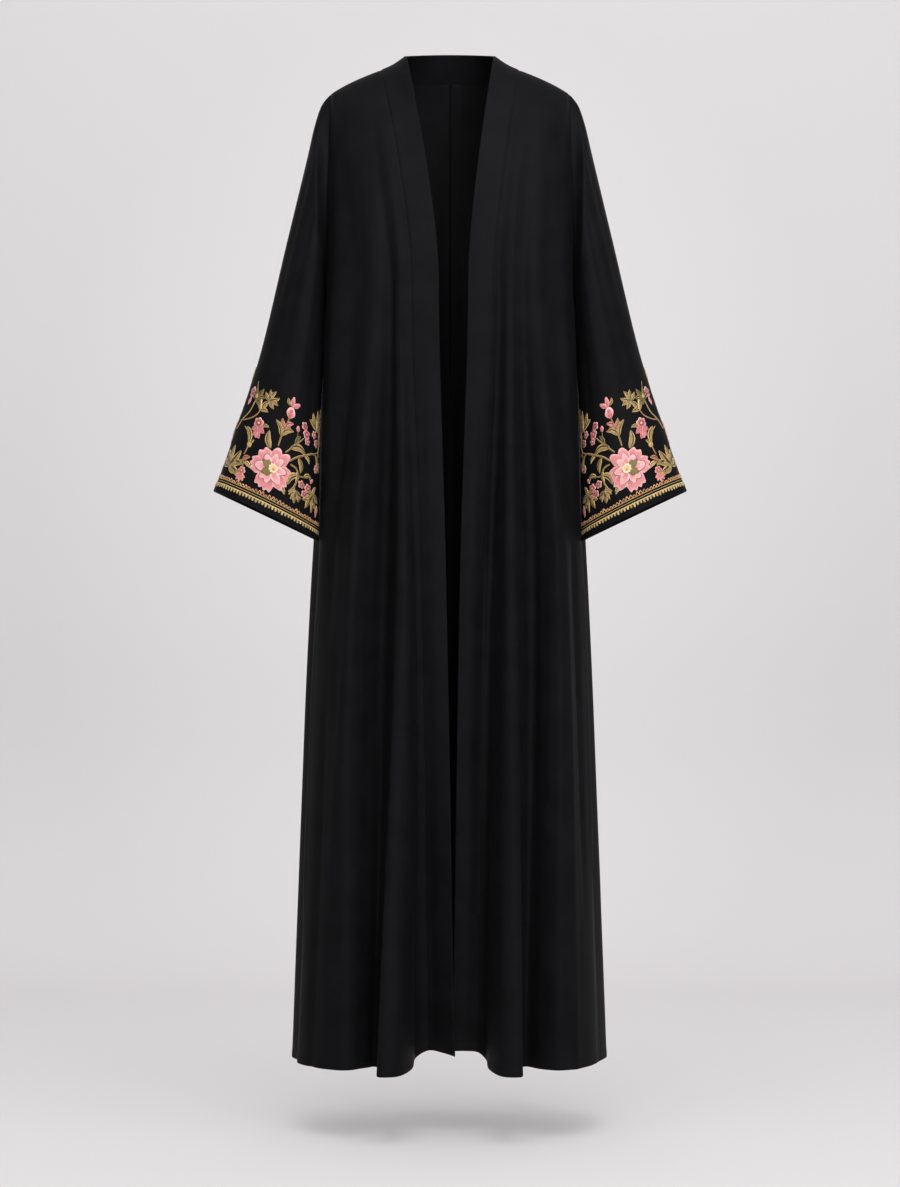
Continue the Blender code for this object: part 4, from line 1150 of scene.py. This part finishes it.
def backdrop_material():
    """Pale paper with painted light and shade: palest on the floor, deepest a little way up, with a painted
    pool of light high in the middle.
    """
    material, tree, shader = nodes_of("studio_paper")
    place = node(tree, "ShaderNodeTexCoord")
    split = node(tree, "ShaderNodeSeparateXYZ")
    link(tree, place, "Object", split, "Vector")
    # Painted light and shade by height: the paper is palest on the floor and deepest a little way up.
    share = node(tree, "ShaderNodeMapRange", From_Min=-1.56, From_Max=-0.2)
    link(tree, split, "Z", share, "Value")
    ramp = node(tree, "ShaderNodeValToRGB")
    ramp.color_ramp.elements[0].color = (0.80, 0.78, 0.785, 1)
    ramp.color_ramp.elements[1].color = (0.765, 0.75, 0.755, 1)
    middle = ramp.color_ramp.elements.new(0.35)
    middle.color = (0.74, 0.725, 0.73, 1)
    link(tree, share, "Result", ramp, "Fac")
    # A painted pool of light on the paper, lightest high in the middle.
    spread = node(tree, "ShaderNodeMapping", Location=(0, 0, 0.55), Scale=(1.1, 0, 0.9))
    link(tree, place, "Object", spread, "Vector")
    painted_glow = node(tree, "ShaderNodeTexGradient")
    painted_glow.gradient_type = "SPHERICAL"
    link(tree, spread, "Vector", painted_glow, "Vector")
    painted_glow_gain = node(tree, "ShaderNodeMapRange", To_Min=1.0, To_Max=1.16)
    link(tree, painted_glow, "Fac", painted_glow_gain, "Value")
    painted_light_tone = node(tree, "ShaderNodeVectorMath")
    painted_light_tone.operation = "SCALE"
    link(tree, ramp, "Color", painted_light_tone, "Vector")
    link(tree, painted_glow_gain, "Result", painted_light_tone, "Scale")
    link(tree, painted_light_tone, "Vector", shader, "Base Color")
    set_sockets(shader, Roughness=0.95, Specular_IOR_Level=0.1)
    return material


def area_light(name, place, aim, size, power):
    """A rectangular light that shines from a place at a point."""
    light = bpy.data.lights.new(name, "AREA")
    light.shape = "RECTANGLE"
    light.size, light.size_y = size
    light.energy = power
    made = bpy.data.objects.new(name, light)
    bpy.context.scene.collection.objects.link(made)
    made.location = place
    made.rotation_euler = (Vector(aim) - Vector(place)).to_track_quat("-Z", "Y").to_euler()
    return made


def studio():
    """The plain pale sweep, the lights and the camera."""
    profile = [(SWEEP_FRONT_Y, FLOOR_Z)]
    for t in np.linspace(0, math.pi / 2, 17):
        profile.append((WALL_Y - BEND + BEND * math.sin(t), FLOOR_Z + BEND - BEND * math.cos(t)))
    profile.append((WALL_Y, WALL_TOP_Z))
    points = [(x, y, z) for y, z in profile for x in (-SWEEP_HALF, SWEEP_HALF)]
    faces = [(2 * k, 2 * k + 1, 2 * k + 3, 2 * k + 2) for k in range(len(profile) - 1)]
    sweep = mesh_piece("studio_sweep", points, faces)
    sweep.data.shade_smooth()
    sweep.data.materials.append(backdrop_material())
    world = bpy.data.worlds.new("studio_air")
    bpy.context.scene.world = world
    world.use_nodes = True
    set_sockets(world.node_tree.nodes["Background"], Color=AIR, Strength=AIR_STRENGTH)
    lights = {name: area_light(name, *rest) for name, *rest in LIGHTS}
    lights["paper_light"].data.use_shadow = False
    for name, state in PAPER_LINKS:
        chosen = bpy.data.collections.new(name + "_paper")
        chosen.objects.link(sweep)
        chosen.collection_objects[0].light_linking.link_state = state
        lights[name].light_linking.receiver_collection = chosen
    camera = bpy.data.cameras.new("camera")
    camera.sensor_width = 36
    camera.lens = LENS
    camera.clip_end = 30
    eye = bpy.data.objects.new("camera", camera)
    bpy.context.scene.collection.objects.link(eye)
    eye.location = EYE
    eye.rotation_euler = (math.radians(90), 0, 0)
    bpy.context.scene.camera = eye
    bpy.context.scene.view_settings.view_transform = "Standard"


def dress():
    """Makes the garment's pieces, and says what each cloth piece measures when it lies flat."""
    band_places = columns(0, BAND_LINES)
    cut = len(band_places) - 1
    around = np.arange(2 * ARMHOLE_ROWS) / (2 * ARMHOLE_ROWS)
    stations = np.array(sleeve_stations())[:, None] * np.ones(len(around))
    neck_places = np.array(sorted([*np.linspace(0, 1, NECK_ROWS), *NECK_FINE_ROWS]))
    grids = {"neck_band": (neck_grid(neck_places), False, True)}
    for side, word, flip, front, back, front_creases, back_creases in (
        (-1, "right", False, RIGHT_FRONT, RIGHT_BACK, FRONT_RIGHT_CREASES, BACK_RIGHT_CREASES),
        (1, "left", True, LEFT_FRONT, LEFT_BACK, FRONT_LEFT_CREASES, BACK_LEFT_CREASES),
    ):
        whole = np.concatenate([band_places[:-1], columns(BAND_LINES, len(front))])
        grid = front_grid(front, side, whole)
        grid = hung(grid, grid[:, :, 2], whole, front_creases, False, flip, ("top", "last"), 1.3 * side)
        grids["front_" + word] = (grid[:, cut:], False, flip)
        grids["band_" + word] = (grid[:, : cut + 1], False, flip)
        places = columns(0, len(back))
        grid = back_grid(back, side, places)
        sewn = ("top", "first", "last")
        grid = hung(grid, grid[:, :, 2], places, back_creases, False, flip, sewn, 2.6 * side)
        grids["back_" + word] = (grid, False, flip)
        grid = np.array([sleeve_ring(station, around) for station in sleeve_stations()]) * [side, 1, 1]
        grid = hung(grid, stations, around, SLEEVE_CREASES, True, not flip, ("top",), 4.1)
        grids["sleeve_" + word] = (leaned_in(grid, around), True, not flip)
    outs = meet(grids)
    panel = {"top": "seam", "bottom": "hem", "first": "seam", "last": "seam"}
    edges = {
        "front": panel,
        "back": dict(panel, last="pressed seam"),
        "band": dict(panel, first="fold"),
        "sleeve": {"top": "seam", "bottom": "hem"},
        "neck": {"top": "seam", "bottom": "fold", "first": "seam", "last": "seam"},
    }
    made = {}
    for name, (grid, ring, flip) in grids.items():
        kind = name.split("_")[0]
        banded = kind in ("band", "neck")
        made[name] = shell(name, grid, ring, flip, outs[name], edges[kind], BAND_PROUD if banded else 0.0,
                           BAND_CLOTH if banded else CLOTH)
    for word in ("right", "left"):
        embroider(made, word, *grids["sleeve_" + word])
    return made, {name: flat_size(grid, ring) for name, (grid, ring, flip) in grids.items()}


def flat_size(grid, ring):
    """The width and length of a piece laid flat, along its cloth: the widest row and the longest line."""
    if ring:
        grid = np.concatenate([grid, grid[:, :1]], 1)
    return round(float(run_of(grid, 1)[:, -1].max()), 3), round(float(run_of(grid, 0)[-1].max()), 3)


def embroider(made, word, grid, ring, flip):
    """A sleeve's embroidery, front and back."""
    cloth = SleeveCloth(grid, flip)
    half = cloth.run[DESIGN_ROW, -1] / 2
    for face, shift in (("front", 0.0), ("back", half - BACK_TURN)):
        work = Embroidery()
        sew_design(work)
        if face == "front":
            sew_fold_flower(work)
            sew_border(work, cloth.run[BORDER_ROW, -1])
        name = f"embroidery_{word}_{face}"
        made[name] = work.finish(name, cloth, shift)


def main():
    """The whole scene: the garment in its materials and the studio."""
    made, cuts = dress()
    for name in cuts:
        shade = BAND_SHADE if "band" in name else 1.0
        made[name].data.materials.append(crepe_material(name + "_crepe", shade))
    thread = thread_material()
    for name, piece in made.items():
        if name.startswith("embroidery"):
            piece.data.materials.append(thread)
    studio()


main()
